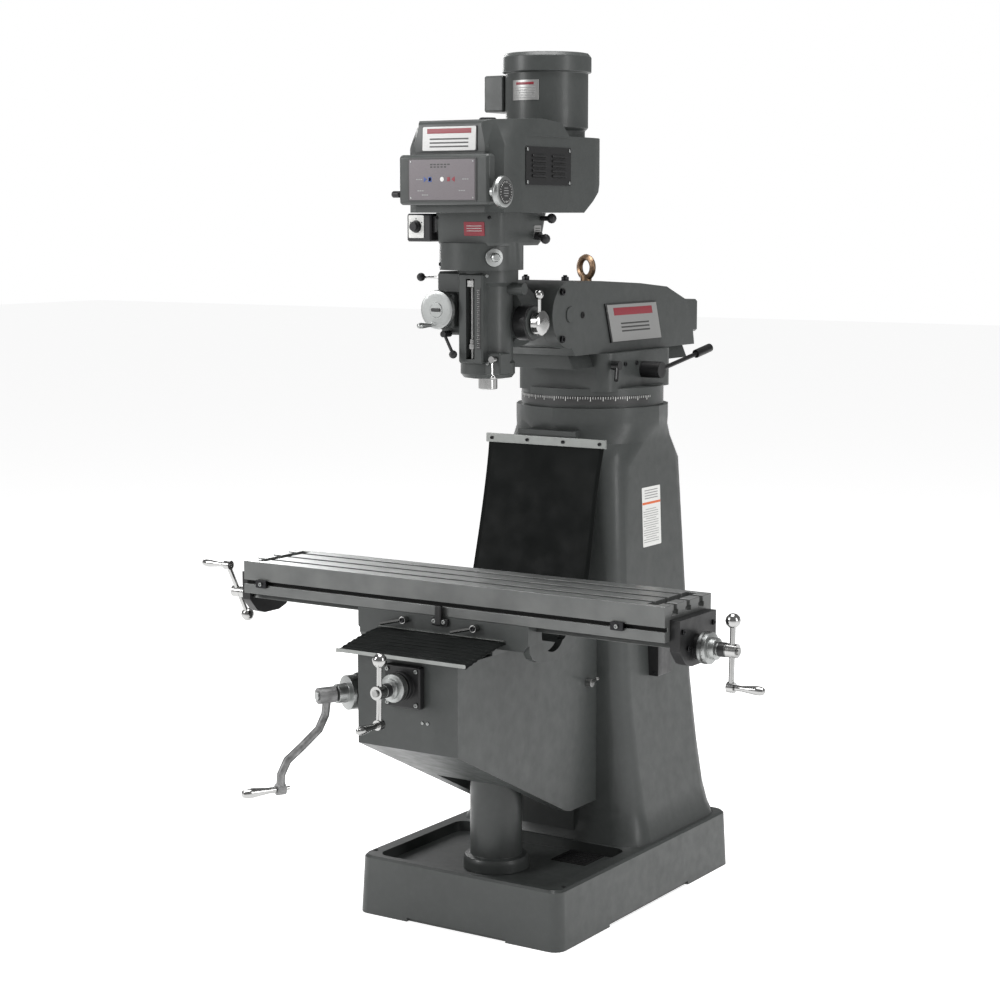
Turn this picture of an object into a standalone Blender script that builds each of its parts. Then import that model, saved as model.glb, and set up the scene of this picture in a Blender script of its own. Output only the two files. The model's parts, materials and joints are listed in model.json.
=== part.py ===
"""Vertical knee-and-column milling machine with a variable-speed head.

World: X to the operator's right, -Y towards the operator, +Z up, metres.
Pieces are drawn about the middle of the base and then set back together, so
that the origin ends on the floor under the middle of the whole machine.
"""

import math

import bmesh
import bpy
import mathutils

# ---- driving dimensions -------------------------------------------------
BASE_HALF_X = 0.307
BASE_HALF_Y = 0.457
BASE_TOP = 0.153
TRAY_FLOOR = 0.125
COLUMN_FRONT = -0.010
COLUMN_TOP = 1.292
WAY_DEPTH = 0.016
TURRET_Y = 0.208
WALL = 0.013
NECK_WALL = 0.038

SCREW_Y = -0.268
KNEE_HALF_X = 0.147
KNEE_FRONT = -0.659
KNEE_TOP = 0.735
KNEE_RIB_TOP = 0.748

TABLE_Y = -0.400
TABLE_HALF_X = 0.6225
TABLE_HALF_Y = 0.1145
TABLE_TOP = 0.902
TABLE_UNDER = 0.8175
TABLE_FEED_Z = 0.794
SLOT_PITCH = 0.0635
CROSS_FEED_Z = 0.675
KNEE_CRANK_Z = 0.628
KNEE_CRANK_ANGLE = math.radians(27.0)

SPINDLE_Y = -0.305
NOSE_BOTTOM = 1.362
HEAD_BOTTOM = 1.392
HEAD_TOP = 1.658
GEAR_TOP = 1.798
HOUSING_TOP = 1.985
MOTOR_Y = -0.030
MOTOR_TOP = 2.200
CASE_X = -0.008
CASE_Y = -0.321
TILT_Z = 1.542
NOD_Y = -0.108
GAP = 0.0003
SELECTOR_TURN = math.radians(50.0)
SET_BACK = 0.115

MATERIALS = {
    "machine_paint": ((0.115, 0.122, 0.118), 0.0, 0.38),
    "ground_steel": ((0.46, 0.47, 0.47), 1.0, 0.32),
    "bright_chrome": ((0.78, 0.78, 0.78), 1.0, 0.14),
    "satin_aluminium": ((0.55, 0.55, 0.55), 1.0, 0.38),
    "black_paint": ((0.018, 0.018, 0.019), 0.0, 0.42),
    "black_rubber": ((0.012, 0.012, 0.013), 0.0, 0.62),
    "black_plastic": ((0.014, 0.014, 0.015), 0.0, 0.35),
    "bronze": ((0.42, 0.27, 0.12), 1.0, 0.38),
}


# ---- helpers ------------------------------------------------------------
def clear_scene():
    """Remove whatever the start-up file holds."""
    for thing in list(bpy.data.objects):
        bpy.data.objects.remove(thing, do_unlink=True)


def solid(name, shape):
    """Turn a bmesh into an object with its faces looking outwards."""
    bmesh.ops.recalc_face_normals(shape, faces=shape.faces[:])
    mesh = bpy.data.meshes.new(name)
    shape.to_mesh(mesh)
    shape.free()
    thing = bpy.data.objects.new(name, mesh)
    bpy.context.scene.collection.objects.link(thing)
    return thing


def loft(name, rings):
    """Skin a stack of closed rings with equal point counts and cap both ends."""
    shape = bmesh.new()
    rows = [[shape.verts.new(point) for point in ring] for ring in rings]
    count = len(rows[0])
    for low, high in zip(rows, rows[1:]):
        for i in range(count):
            j = (i + 1) % count
            shape.faces.new((low[i], low[j], high[j], high[i]))
    shape.faces.new(rows[0])
    shape.faces.new(rows[-1])
    return solid(name, shape)


def along(axis, a, b, t):
    """Point with in-plane coordinates a, b and distance t along a world axis."""
    if axis == "X":
        return (t, a, b)
    if axis == "Y":
        return (a, t, b)
    return (a, b, t)


def prism(name, outline, axis, low, high):
    """Extrude a closed outline between two stations of a world axis."""
    rings = [[along(axis, a, b, t) for a, b in outline] for t in (low, high)]
    return loft(name, rings)


def block(name, x, y, z, edge=0.0):
    """Box between pairs of limits, its twelve edges chamfered when edge is given."""
    outline = [(x[0], y[0]), (x[1], y[0]), (x[1], y[1]), (x[0], y[1])]
    thing = prism(name, outline, "Z", z[0], z[1])
    if edge > 0.0:
        shape = bmesh.new()
        shape.from_mesh(thing.data)
        bmesh.ops.bevel(shape, geom=shape.edges[:], offset=edge, segments=1, affect="EDGES")
        shape.to_mesh(thing.data)
        shape.free()
    return thing


def rounded(half_x, low_y, high_y, radius, steps=5):
    """Rectangle outline about x = 0 with rounded corners."""
    points = []
    corners = (
        (half_x - radius, low_y + radius, -90.0),
        (half_x - radius, high_y - radius, 0.0),
        (-half_x + radius, high_y - radius, 90.0),
        (-half_x + radius, low_y + radius, 180.0),
    )
    for cx, cy, start in corners:
        for i in range(steps + 1):
            turn = math.radians(start + 90.0 * i / steps)
            points.append((cx + radius * math.cos(turn), cy + radius * math.sin(turn)))
    return points


def frame_of(direction):
    """Two unit vectors square to a direction, and the direction itself."""
    ahead = mathutils.Vector(direction).normalized()
    helper = mathutils.Vector((0, 0, 1)) if abs(ahead.z) < 0.9 else mathutils.Vector((0, 1, 0))
    side = helper.cross(ahead).normalized()
    return side, ahead.cross(side), ahead


def turned(name, profile, origin, direction, segments=20):
    """Revolve (radius, distance) points about an axis; a profile off the axis makes a ring."""
    side, up, ahead = frame_of(direction)
    start = mathutils.Vector(origin)
    shape = bmesh.new()
    rows = []
    for radius, distance in profile:
        centre = start + ahead * distance
        if radius <= 0.0:
            rows.append([shape.verts.new(centre)])
            continue
        row = []
        for i in range(segments):
            turn = 2.0 * math.pi * i / segments
            row.append(shape.verts.new(centre + (side * math.cos(turn) + up * math.sin(turn)) * radius))
        rows.append(row)
    pairs = list(zip(rows, rows[1:]))
    if len(rows[0]) > 1:
        pairs.append((rows[-1], rows[0]))
    for low, high in pairs:
        for i in range(segments):
            j = (i + 1) % segments
            if len(low) == 1:
                shape.faces.new((low[0], high[j], high[i]))
            elif len(high) == 1:
                shape.faces.new((low[i], low[j], high[0]))
            else:
                shape.faces.new((low[i], low[j], high[j], high[i]))
    return solid(name, shape)


def disc(name, radius, origin, direction, length, segments=24):
    """Plain cylinder from origin along direction."""
    return turned(name, [(0, 0), (radius, 0), (radius, length), (0, length)], origin, direction, segments)


def tube(name, outer, inner, origin, direction, length, segments=24):
    """Plain ring or pipe."""
    profile = [(inner, 0), (outer, 0), (outer, length), (inner, length)]
    return turned(name, profile, origin, direction, segments)


def rod(name, start, end, radius, segments=12):
    """Cylinder between two points."""
    a = mathutils.Vector(start)
    b = mathutils.Vector(end)
    return disc(name, radius, a, b - a, (b - a).length, segments)


def ball(name, centre, radius, segments=12, rows=6):
    """Sphere with poles along Z."""
    profile = []
    for i in range(rows + 1):
        turn = math.pi * i / rows
        profile.append((radius * math.sin(turn) if 0 < i < rows else 0.0, -radius * math.cos(turn)))
    return turned(name, profile, centre, (0, 0, 1), segments)


def bar_path(name, points, radii, segments=12):
    """Round bar through a list of points, its sections square to the path."""
    vectors = [mathutils.Vector(point) for point in points]
    rings = []
    side, up, ahead = frame_of(vectors[1] - vectors[0])
    for i, centre in enumerate(vectors):
        before = vectors[max(i - 1, 0)]
        after = vectors[min(i + 1, len(vectors) - 1)]
        heading = (after - before).normalized()
        side = (side - heading * side.dot(heading)).normalized()
        up = heading.cross(side)
        ring = []
        for k in range(segments):
            turn = 2.0 * math.pi * k / segments
            ring.append(centre + (side * math.cos(turn) + up * math.sin(turn)) * radii[i])
        rings.append(ring)
    return loft(name, rings)


def settle(thing):
    """Replace the mesh with the result of its modifiers."""
    scene_state = bpy.context.evaluated_depsgraph_get()
    mesh = bpy.data.meshes.new_from_object(thing.evaluated_get(scene_state))
    thing.modifiers.clear()
    thing.data = mesh
    shape = bmesh.new()
    shape.from_mesh(mesh)
    bmesh.ops.remove_doubles(shape, verts=shape.verts[:], dist=0.000002)
    bmesh.ops.dissolve_degenerate(shape, edges=shape.edges[:], dist=0.000002)
    shape.to_mesh(mesh)
    shape.free()


def shift(point, x, y, z):
    """A point moved by a small step."""
    return point + mathutils.Vector((x, y, z))


def combine(thing, operation, others):
    """Boolean a list of helper solids into or out of a solid, one after another."""
    for other in others:
        step = thing.modifiers.new("combine", "BOOLEAN")
        step.operation = operation
        step.solver = "EXACT"
        step.object = other
        other.hide_render = True
        other.display_type = "WIRE"
        bpy.context.view_layer.update()
        settle(thing)
        bpy.data.objects.remove(other, do_unlink=True)
    return thing


def join(thing, *others):
    """Union of solids that overlap."""
    return combine(thing, "UNION", others)


def cut(thing, *others):
    """Solid less its cutters."""
    return combine(thing, "DIFFERENCE", others)


def dress(thing, slot, pivot=None, smooth=None):
    """Name the material, move the origin onto the joint axis, and round the shading."""
    colour, metallic, roughness = MATERIALS[slot]
    material = bpy.data.materials.new(thing.name)
    material.use_nodes = True
    shader = material.node_tree.nodes["Principled BSDF"]
    shader.inputs["Base Color"].default_value = (*colour, 1.0)
    shader.inputs["Metallic"].default_value = metallic
    shader.inputs["Roughness"].default_value = roughness
    thing.data.materials.clear()
    thing.data.materials.append(material)
    for face in thing.data.polygons:
        face.material_index = 0
    if pivot is not None:
        offset = mathutils.Vector(pivot)
        thing.data.transform(mathutils.Matrix.Translation(-offset))
        thing.location = offset
    if smooth is not None:
        thing.data.shade_smooth()
        thing.data.set_sharp_from_angle(angle=math.radians(smooth))


# ---- column and base ----------------------------------------------------
def column_ring(z, half_x, low_y, high_y, radius, inset=0.0):
    """Horizontal section of the column, optionally shrunk by a wall thickness."""
    outline = rounded(half_x - inset, low_y + inset, high_y - inset, max(radius - inset, 0.008))
    return [(x, y, z) for x, y in outline]


COLUMN_SECTIONS = (
    (0.150, 0.288, -0.040, 0.446, 0.080),
    (0.185, 0.272, -0.018, 0.440, 0.075),
    (0.240, 0.258, -0.011, 0.432, 0.070),
    (0.360, 0.241, COLUMN_FRONT, 0.420, 0.062),
    (0.530, 0.222, COLUMN_FRONT, 0.410, 0.056),
    (0.850, 0.204, COLUMN_FRONT, 0.402, 0.056),
    (1.140, 0.193, COLUMN_FRONT, 0.404, 0.085),
    (1.200, 0.192, 0.002, 0.408, 0.150),
)


def way_outline(grow):
    """Dovetail rib on the column front, as an XY outline."""
    return [
        (-0.075 - grow, COLUMN_FRONT + 0.06),
        (-0.075 - grow, COLUMN_FRONT),
        (-0.088 - grow, COLUMN_FRONT - WAY_DEPTH - grow),
        (0.088 + grow, COLUMN_FRONT - WAY_DEPTH - grow),
        (0.075 + grow, COLUMN_FRONT),
        (0.075 + grow, COLUMN_FRONT + 0.06),
    ]


def build_column_base():
    """One hollow casting: tray-topped base, flared column, round top flange, front way."""
    rings = []
    for z, inset in ((0.0, 0.0), (BASE_TOP - 0.006, 0.006), (BASE_TOP, 0.011)):
        outline = rounded(BASE_HALF_X - inset, -BASE_HALF_Y + inset, BASE_HALF_Y - inset, 0.032)
        rings.append([(x, y, z) for x, y in outline])
    base = loft("column_base", rings)
    column = loft("column", [column_ring(*section) for section in COLUMN_SECTIONS])
    neck = loft("neck", [
        column_ring(1.199, 0.192, 0.002, 0.408, 0.150),
        column_ring(1.235, 0.198, TURRET_Y - 0.200, TURRET_Y + 0.200, 0.185),
        column_ring(1.256, 0.205, TURRET_Y - 0.205, TURRET_Y + 0.205, 0.2045),
        column_ring(COLUMN_TOP, 0.205, TURRET_Y - 0.205, TURRET_Y + 0.205, 0.2045),
    ])
    way = prism("way", way_outline(0.0), "Z", 0.175, 1.235)
    join(base, column, neck, way)

    cavities = []
    inner = []
    for z, half_x, low_y, high_y, radius in COLUMN_SECTIONS:
        wall = WALL if z < 1.15 else NECK_WALL
        inner.append(column_ring(z, half_x, low_y, high_y, radius, wall))
    floor = [(x, y, -0.01) for x, y, z in inner[0]]
    crown = [(x, y, 1.268) for x, y, z in inner[-1]]
    hollow = loft("hollow", [floor] + inner + [crown])
    cut(hollow, block("web_x", (-0.008, 0.008), (-0.2, 0.6), (-0.1, 1.4)))
    cut(hollow, block("web_y", (-0.4, 0.4), (0.189, 0.205), (-0.1, 1.4)))
    cavities.append(hollow)
    for side in (-1, 1):
        for low, high in ((-0.438, -0.248), (-0.236, -0.066)):
            xs = sorted((side * 0.098, side * 0.286))
            cavities.append(block("pocket", xs, (low, high), (-0.01, 0.110)))
    cavities.append(block("pocket", (-0.086, 0.086), (-0.438, -0.360), (-0.01, 0.110)))
    cavities.append(block("pocket", (-0.086, 0.086), (-0.176, -0.066), (-0.01, 0.110)))
    tray = prism("tray", rounded(0.262, -0.428, -0.046, 0.030), "Z", TRAY_FLOOR, 0.2)
    keep_column = loft("keep", [column_ring(*section) for section in COLUMN_SECTIONS[:3]])
    cut(tray, keep_column)
    cavities.append(tray)
    cavities.append(disc("screw_well", 0.030, (0, SCREW_Y, -0.01), (0, 0, 1), 0.2))
    for x, y in ((-0.286, -0.402), (0.270, 0.405), (0.286, -0.402), (-0.270, 0.405)):
        cavities.append(disc("anchor", 0.007, (x, y, -0.01), (0, 0, 1), 0.2, 12))
    cavities.append(block("relief_x", (-0.150, 0.150), (-0.6, -0.447), (-0.01, 0.010)))
    cavities.append(block("relief_x", (-0.150, 0.150), (0.447, 0.6), (-0.01, 0.010)))
    cavities.append(block("relief_y", (-0.4, -0.297), (-0.210, 0.210), (-0.01, 0.010)))
    cavities.append(block("relief_y", (0.297, 0.4), (-0.210, 0.210), (-0.01, 0.010)))
    cut(base, *cavities)
    dress(base, "machine_paint", smooth=32)


def build_pedestal():
    """Tube standing in the tray, its top collar threaded for the elevating screw."""
    profile = [
        (0.046, 0.0), (0.086, 0.0), (0.086, 0.022), (0.080, 0.034), (0.067, 0.036),
        (0.067, 0.322), (0.060, 0.330), (0.0163, 0.330), (0.0163, 0.285), (0.046, 0.285),
    ]
    tube_body = turned("screw_pedestal", profile, (0, SCREW_Y, TRAY_FLOOR + GAP), (0, 0, 1), 32)
    dress(tube_body, "machine_paint", smooth=32)


def build_way_covers():
    """Clamping strip and the two rubber way covers, drawn as plain closed sheets."""
    strip = block("way_cover_bar", (-0.184, 0.184), (-0.0345, -0.0295), (1.196, 1.220), 0.0012)
    dress(strip, "satin_aluminium")
    rear = [
        (-0.0278, 1.216), (-0.0279, 1.190), (-0.0350, 1.130), (-0.0520, 1.060), (-0.0740, 0.990),
        (-0.0960, 0.930), (-0.1120, 0.880), (-0.1180, 0.845),
    ]
    dress(sheet("rear_way_cover", rear, 0.178, 0.0025), "black_rubber", smooth=40)
    front = [
        (-0.5165, 0.7760), (-0.5400, 0.7725), (-0.5800, 0.7660), (-0.6200, 0.7590),
        (-0.6520, 0.7535), (-0.6720, 0.7460), (-0.6900, 0.7380),
    ]
    dress(sheet("front_way_cover", front, 0.192, 0.0025), "black_rubber", smooth=40)


def sheet(name, path, half_x, thickness):
    """Sheet of even thickness that follows a side-view path, square to X."""
    lower = []
    upper = []
    for i, (y, z) in enumerate(path):
        before = mathutils.Vector(path[max(i - 1, 0)])
        after = mathutils.Vector(path[min(i + 1, len(path) - 1)])
        heading = (after - before).normalized()
        normal = mathutils.Vector((-heading.y, heading.x)) * (0.5 * thickness)
        upper.append((y + normal.x, z + normal.y))
        lower.append((y - normal.x, z - normal.y))
    return prism(name, upper + lower[::-1], "X", -half_x, half_x)


# ---- knee ---------------------------------------------------------------
def crank_way(distance, z=KNEE_CRANK_Z):
    """Point on the knee crank's axis, measured from the elevating screw."""
    x = -math.sin(KNEE_CRANK_ANGLE) * distance
    y = SCREW_Y - math.cos(KNEE_CRANK_ANGLE) * distance
    return mathutils.Vector((x, y, z))


def crank_heading():
    """Unit vector of the knee crank's axis, pointing at the operator."""
    return (-math.sin(KNEE_CRANK_ANGLE), -math.cos(KNEE_CRANK_ANGLE), 0.0)


def build_knee():
    """Hollow knee with its sloping belly, way slot at the back and saddle rib on top."""
    side = [
        (KNEE_FRONT, KNEE_TOP), (KNEE_FRONT, 0.512), (-0.165, 0.268),
        (-0.140, 0.262), (COLUMN_FRONT - 0.0015, 0.262), (COLUMN_FRONT - 0.0015, KNEE_TOP),
    ]
    knee = prism("knee_casting", side, "X", -KNEE_HALF_X, KNEE_HALF_X)
    rib = [
        (-0.075, KNEE_TOP - 0.01), (-0.075, KNEE_TOP), (-0.090, KNEE_RIB_TOP),
        (0.090, KNEE_RIB_TOP), (0.075, KNEE_TOP), (0.075, KNEE_TOP - 0.01),
    ]
    join(knee, prism("rib", rib, "Y", KNEE_FRONT + 0.012, -0.062))
    hollow = [
        (-0.637, 0.700), (-0.637, 0.540), (-0.380, 0.412), (-0.380, 0.200),
        (-0.078, 0.200), (-0.078, 0.700),
    ]
    hole = [(0, 0.12), (0.0405, 0.12), (0.0405, 0.3715), (0.0478, 0.3715), (0.0478, 0.46), (0, 0.46)]
    cut(
        knee,
        prism("hollow", hollow, "X", -0.106, 0.106),
        prism("way_slot", way_outline(GAP), "Z", 0.2, 0.9),
        block("nut_slot", (-0.032, 0.032), (-0.610, -0.120), (0.69, 0.8)),
        turned("crank_hole", hole, crank_way(0.0), crank_heading(), 36),
        disc("feed_hole", 0.0290, (0, -0.70, CROSS_FEED_Z), (0, 1, 0), 0.1, 24),
    )
    dress(knee, "machine_paint", smooth=32)

    plate = block("cross_feed_bracket", (-0.052, 0.052), (-0.681, KNEE_FRONT - GAP), (0.620, 0.7235), 0.003)
    join(plate, disc("nose", 0.036, (0, -0.680, CROSS_FEED_Z), (0, -1, 0), 0.016, 32))
    join(plate, disc("spigot", 0.0285, (0, -0.670, CROSS_FEED_Z), (0, 1, 0), 0.030, 24))
    cut(plate, disc("bore", 0.0115, (0, -0.75, CROSS_FEED_Z), (0, 1, 0), 0.15, 16))
    dress(plate, "black_paint", smooth=32)

    profile = [
        (0.0125, 0.285), (0.0400, 0.285), (0.0400, 0.372), (0.0470, 0.374),
        (0.0470, 0.392), (0.0440, 0.395), (0.0125, 0.395),
    ]
    flange = turned("knee_crank_bracket", profile, crank_way(0.0), crank_heading(), 24)
    dress(flange, "machine_paint", smooth=32)

    lever = disc("knee_lock_lever", 0.0110, (KNEE_HALF_X + GAP, -0.060, 0.587), (1, 0, 0), 0.016, 16)
    join(lever, rod("arm", (0.157, -0.060, 0.588), (0.186, -0.072, 0.604), 0.0045, 10))
    dress(lever, "bronze", (KNEE_HALF_X, -0.060, 0.587), smooth=40)


def build_elevating_screw():
    """Vertical screw with the bevel gear the crank turns."""
    profile = [
        (0, 0.030), (0.014, 0.030), (0.0160, 0.033), (0.0160, 0.560), (0.046, 0.562),
        (0.046, 0.578), (0.030, 0.596), (0.014, 0.596), (0.014, 0.600), (0, 0.600),
    ]
    screw = turned("elevating_screw", profile, (0, SCREW_Y, 0), (0, 0, 1), 24)
    dress(screw, "ground_steel", (0, SCREW_Y, 0.6), smooth=32)


def handle_profile(length, radius):
    """Turned grip, slim at the arm and full near its end."""
    return [
        (0, 0), (0.62 * radius, 0), (0.66 * radius, 0.10 * length), (0.60 * radius, 0.22 * length),
        (0.80 * radius, 0.45 * length), (radius, 0.70 * length), (0.96 * radius, 0.84 * length),
        (0.70 * radius, 0.95 * length), (0, length),
    ]


def build_knee_crank():
    """Bevel pinion shaft with dial, the offset crank and its free-turning grip."""
    ahead = crank_heading()
    profile = [
        (0, 0.030), (0.020, 0.030), (0.026, 0.046), (0.0120, 0.046), (0.0120, 0.3960),
        (0.0430, 0.3960), (0.0430, 0.424), (0.024, 0.426), (0.024, 0.452), (0.0110, 0.454),
        (0.0110, 0.506), (0, 0.506),
    ]
    shaft = turned("knee_crank_shaft", profile, crank_way(0.0), ahead, 24)
    dress(shaft, "satin_aluminium", crank_way(0.40), smooth=32)

    arm = tube("knee_crank_arm", 0.0200, 0.0113, crank_way(0.457), ahead, 0.044, 24)
    path = [
        crank_way(0.478, 0.612), crank_way(0.482, 0.580), crank_way(0.500, 0.545),
        crank_way(0.545, 0.508), crank_way(0.585, 0.478), crank_way(0.602, 0.445), crank_way(0.604, 0.418),
    ]
    radii = [0.0105, 0.0105, 0.0105, 0.0105, 0.0105, 0.0105, 0.0110]
    join(arm, bar_path("bend", path, radii, 12))
    eye = tube("eye", 0.0145, 0.0056, crank_way(0.593, 0.409), ahead, 0.022, 16)
    cut(arm, disc("eye_hole", 0.0056, crank_way(0.58, 0.409), ahead, 0.05, 16))
    join(arm, eye)
    dress(arm, "satin_aluminium", crank_way(0.48), smooth=40)

    grip_start = 0.6155
    profile = [(0, -0.036), (0.0050, -0.036), (0.0050, 0.0)] + handle_profile(0.092, 0.0125)[1:]
    grip = turned("knee_crank_handle", profile, crank_way(grip_start, 0.409), ahead, 16)
    dress(grip, "bright_chrome", crank_way(grip_start, 0.409), smooth=50)


# ---- cranks shared by the cross and long feeds --------------------------
def feed_crank(name, centre, outward, up, ball_reach, grip_reach, bore):
    """Straight two-arm crank: hub, ball on one side, grip eye on the other."""
    centre = mathutils.Vector(centre)
    outward = mathutils.Vector(outward)
    up = mathutils.Vector(up).normalized()
    hub = tube(name, 0.0165, bore, centre - outward * 0.012, outward, 0.026, 20)
    top = centre + up * ball_reach
    foot = centre - up * grip_reach
    join(hub, rod("upper", centre + up * 0.0135, top, 0.0066, 12))
    join(hub, ball("weight", top, 0.0180, 12, 6))
    join(hub, rod("lower", centre - up * 0.0135, foot, 0.0066, 12))
    join(hub, disc("eye", 0.0125, foot - outward * 0.009, outward, 0.018, 16))
    cut(hub, disc("eye_hole", 0.0046, foot - outward * 0.02, outward, 0.04, 12))
    dress(hub, "bright_chrome", centre, smooth=40)
    return foot


def grip(name, foot, outward, length=0.080):
    """Free-turning grip on its pin."""
    start = mathutils.Vector(foot) + mathutils.Vector(outward) * 0.0095
    profile = [(0, -0.0185), (0.0042, -0.0185), (0.0042, 0.0)] + handle_profile(length, 0.0110)[1:]
    thing = turned(name, profile, start, outward, 14)
    dress(thing, "bright_chrome", start, smooth=50)


def build_cross_feed():
    """Cross screw under the knee top with its dial and crank at the front."""
    profile = [
        (0, 0.0), (0.0110, 0.0), (0.0110, 0.146), (0.0110, 0.5500), (0, 0.5500),
    ]
    screw = turned("cross_feed_screw", profile, (0, -0.150, CROSS_FEED_Z), (0, -1, 0), 20)
    join(screw, disc("end", 0.0085, (0, -0.699, CROSS_FEED_Z), (0, -1, 0), 0.092, 20))
    dress(screw, "ground_steel", (0, -0.7, CROSS_FEED_Z), smooth=32)
    profile = [
        (0.0088, 0.0), (0.0330, 0.0), (0.0340, 0.002), (0.0340, 0.020), (0.0250, 0.022),
        (0.0250, 0.034), (0.0160, 0.036), (0.0160, 0.0570), (0.0088, 0.0570),
    ]
    dial = turned("cross_feed_dial", profile, (0, -0.7005, CROSS_FEED_Z), (0, -1, 0), 24)
    dress(dial, "satin_aluminium", (0, -0.71, CROSS_FEED_Z), smooth=32)
    hub = (0, -0.7715, CROSS_FEED_Z)
    foot = feed_crank("cross_feed_crank", hub, (0, -1, 0), (0.02, 0, 1), 0.077, 0.078, 0.0088)
    grip("cross_feed_handle", foot, (0, -1, 0), 0.078)


# ---- saddle and table ---------------------------------------------------
def build_saddle():
    """Saddle with a slot below for the knee rib, one above for the table, and the feed nuts."""
    front = TABLE_Y - TABLE_HALF_Y
    back = TABLE_Y + TABLE_HALF_Y
    right = [
        (0.0765, KNEE_TOP + GAP), (0.150, KNEE_TOP + GAP), (0.152, 0.7535), (0.236, 0.7535),
        (0.253, 0.770), (0.253, TABLE_UNDER - GAP),
    ]
    left = [(-x, z) for x, z in reversed(right)]
    roof = [(-0.0915, KNEE_RIB_TOP + GAP), (0.0915, KNEE_RIB_TOP + GAP)]
    saddle = prism("saddle_casting", roof + right + left, "Y", front, back)
    channel = [
        (TABLE_Y - 0.0703, 0.83), (TABLE_Y - 0.0703, TABLE_UNDER), (TABLE_Y - 0.0803, 0.7992),
        (TABLE_Y + 0.0803, 0.7992), (TABLE_Y + 0.0703, TABLE_UNDER), (TABLE_Y + 0.0703, 0.83),
    ]
    screw_bed = rounded_bed(0.0140, TABLE_FEED_Z)
    skirt = [
        (TABLE_Y + y, z) for y, z in (
            (-0.1085, 0.800), (-0.1085, 0.753), (-0.095, 0.734), (-0.065, 0.722), (-0.020, 0.716),
            (0.020, 0.716), (0.065, 0.722), (0.095, 0.734), (0.1085, 0.753), (0.1085, 0.800),
        )
    ]
    for side in (-1, 1):
        join(saddle, prism("skirt", skirt, "X", *sorted((side * 0.2340, side * 0.2528))))
        cut(saddle, disc("skirt_hole", 0.0540, (side * 0.175, TABLE_Y, 0.7920), (side, 0, 0), 0.1, 32))
    cut(
        saddle,
        prism("channel", channel, "X", -0.3, 0.3),
        prism("screw_bed", screw_bed, "X", -0.3, 0.3),
        disc("side_hole", 0.0150, (0.235, TABLE_Y + 0.045, 0.776), (1, 0, 0), 0.1, 20),
    )
    join(saddle, block("nut_block", (-0.026, 0.026), (-0.430, -0.370), (0.659, 0.7560)))
    cut(saddle, disc("nut_bore", 0.0113, (0, -0.5, CROSS_FEED_Z), (0, 1, 0), 0.2, 20))
    dress(saddle, "machine_paint", smooth=32)

    stop = block("table_stop_bracket", (-0.024, 0.024), (front - 0.009, front - GAP), (0.795, 0.814), 0.002)
    join(stop, block("finger", (-0.009, 0.009), (front - 0.016, front - 0.004), (0.797, 0.846), 0.002))
    dress(stop, "black_paint")

    for side, name in ((-1, "table_lock_lever_left"), (1, "table_lock_lever_right")):
        root = mathutils.Vector((side * 0.105, front - GAP, 0.800))
        lever = disc(name, 0.0090, root, (0, -1, 0), 0.018, 16)
        join(lever, rod("arm", shift(root, 0, -0.011, 0), shift(root, -0.058, -0.028, -0.013), 0.0042, 10))
        dress(lever, "bright_chrome", root, smooth=40)


def rounded_bed(radius, z):
    """Side-view outline of the open trough that clears the long screw."""
    points = [(TABLE_Y + radius, 0.83)]
    for i in range(9):
        turn = math.radians(-180.0 * i / 8)
        points.append((TABLE_Y + radius * math.cos(turn), z + radius * math.sin(turn)))
    points.append((TABLE_Y - radius, 0.83))
    return points


def build_table():
    """Long table with three tee slots, cross troughs, front rail groove and slide below."""
    low = TABLE_Y - TABLE_HALF_Y
    high = TABLE_Y + TABLE_HALF_Y
    ends = (-TABLE_HALF_X, TABLE_HALF_X)
    table = block("table_casting", ends, (low, high), (TABLE_UNDER, TABLE_TOP))
    slide = [
        (TABLE_Y - 0.070, TABLE_UNDER + 0.006), (TABLE_Y - 0.070, TABLE_UNDER), (TABLE_Y - 0.080, 0.7997),
        (TABLE_Y + 0.080, 0.7997), (TABLE_Y + 0.070, TABLE_UNDER), (TABLE_Y + 0.070, TABLE_UNDER + 0.006),
    ]
    join(table, prism("slide", slide, "X", *ends))
    cutters = [block("screw_trough", (-0.7, 0.7), (TABLE_Y - 0.0165, TABLE_Y + 0.0165), (0.78, 0.826))]
    for i in (-1, 0, 1):
        y = TABLE_Y + i * SLOT_PITCH
        tee = [
            (y - 0.008, TABLE_TOP + 0.01), (y - 0.008, 0.888), (y - 0.0135, 0.888), (y - 0.0135, 0.876),
            (y + 0.0135, 0.876), (y + 0.0135, 0.888), (y + 0.008, 0.888), (y + 0.008, TABLE_TOP + 0.01),
        ]
        cutters.append(prism("tee", tee, "X", -0.7, 0.7))
    for side in (-1, 1):
        xs = sorted((side * 0.566, side * 0.594))
        cutters.append(block("trough", xs, (TABLE_Y - 0.098, TABLE_Y + 0.098), (0.884, 0.95)))
    cutters.append(block("rail", (-0.7, 0.7), (low - 0.01, low + 0.014), (0.8425, 0.8525)))
    cut(table, *cutters)
    dress(table, "ground_steel")

    for side, name in ((-1, "table_bracket_left"), (1, "table_bracket_right")):
        outline = [
            (TABLE_Y - 0.090, 0.868), (TABLE_Y - 0.090, 0.795), (TABLE_Y - 0.060, 0.762),
            (TABLE_Y - 0.030, 0.752), (TABLE_Y + 0.030, 0.752), (TABLE_Y + 0.060, 0.762),
            (TABLE_Y + 0.090, 0.795), (TABLE_Y + 0.090, 0.868),
        ]
        start = side * (TABLE_HALF_X + GAP)
        bracket = prism(name, outline, "X", start, side * 0.649)
        join(bracket, disc("boss", 0.030, (side * 0.64, TABLE_Y, TABLE_FEED_Z), (side, 0, 0), 0.022, 24))
        cut(bracket, disc("bore", 0.0113, (side * 0.6, TABLE_Y, TABLE_FEED_Z), (side, 0, 0), 0.1, 20))
        dress(bracket, "black_paint", smooth=32)


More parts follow.
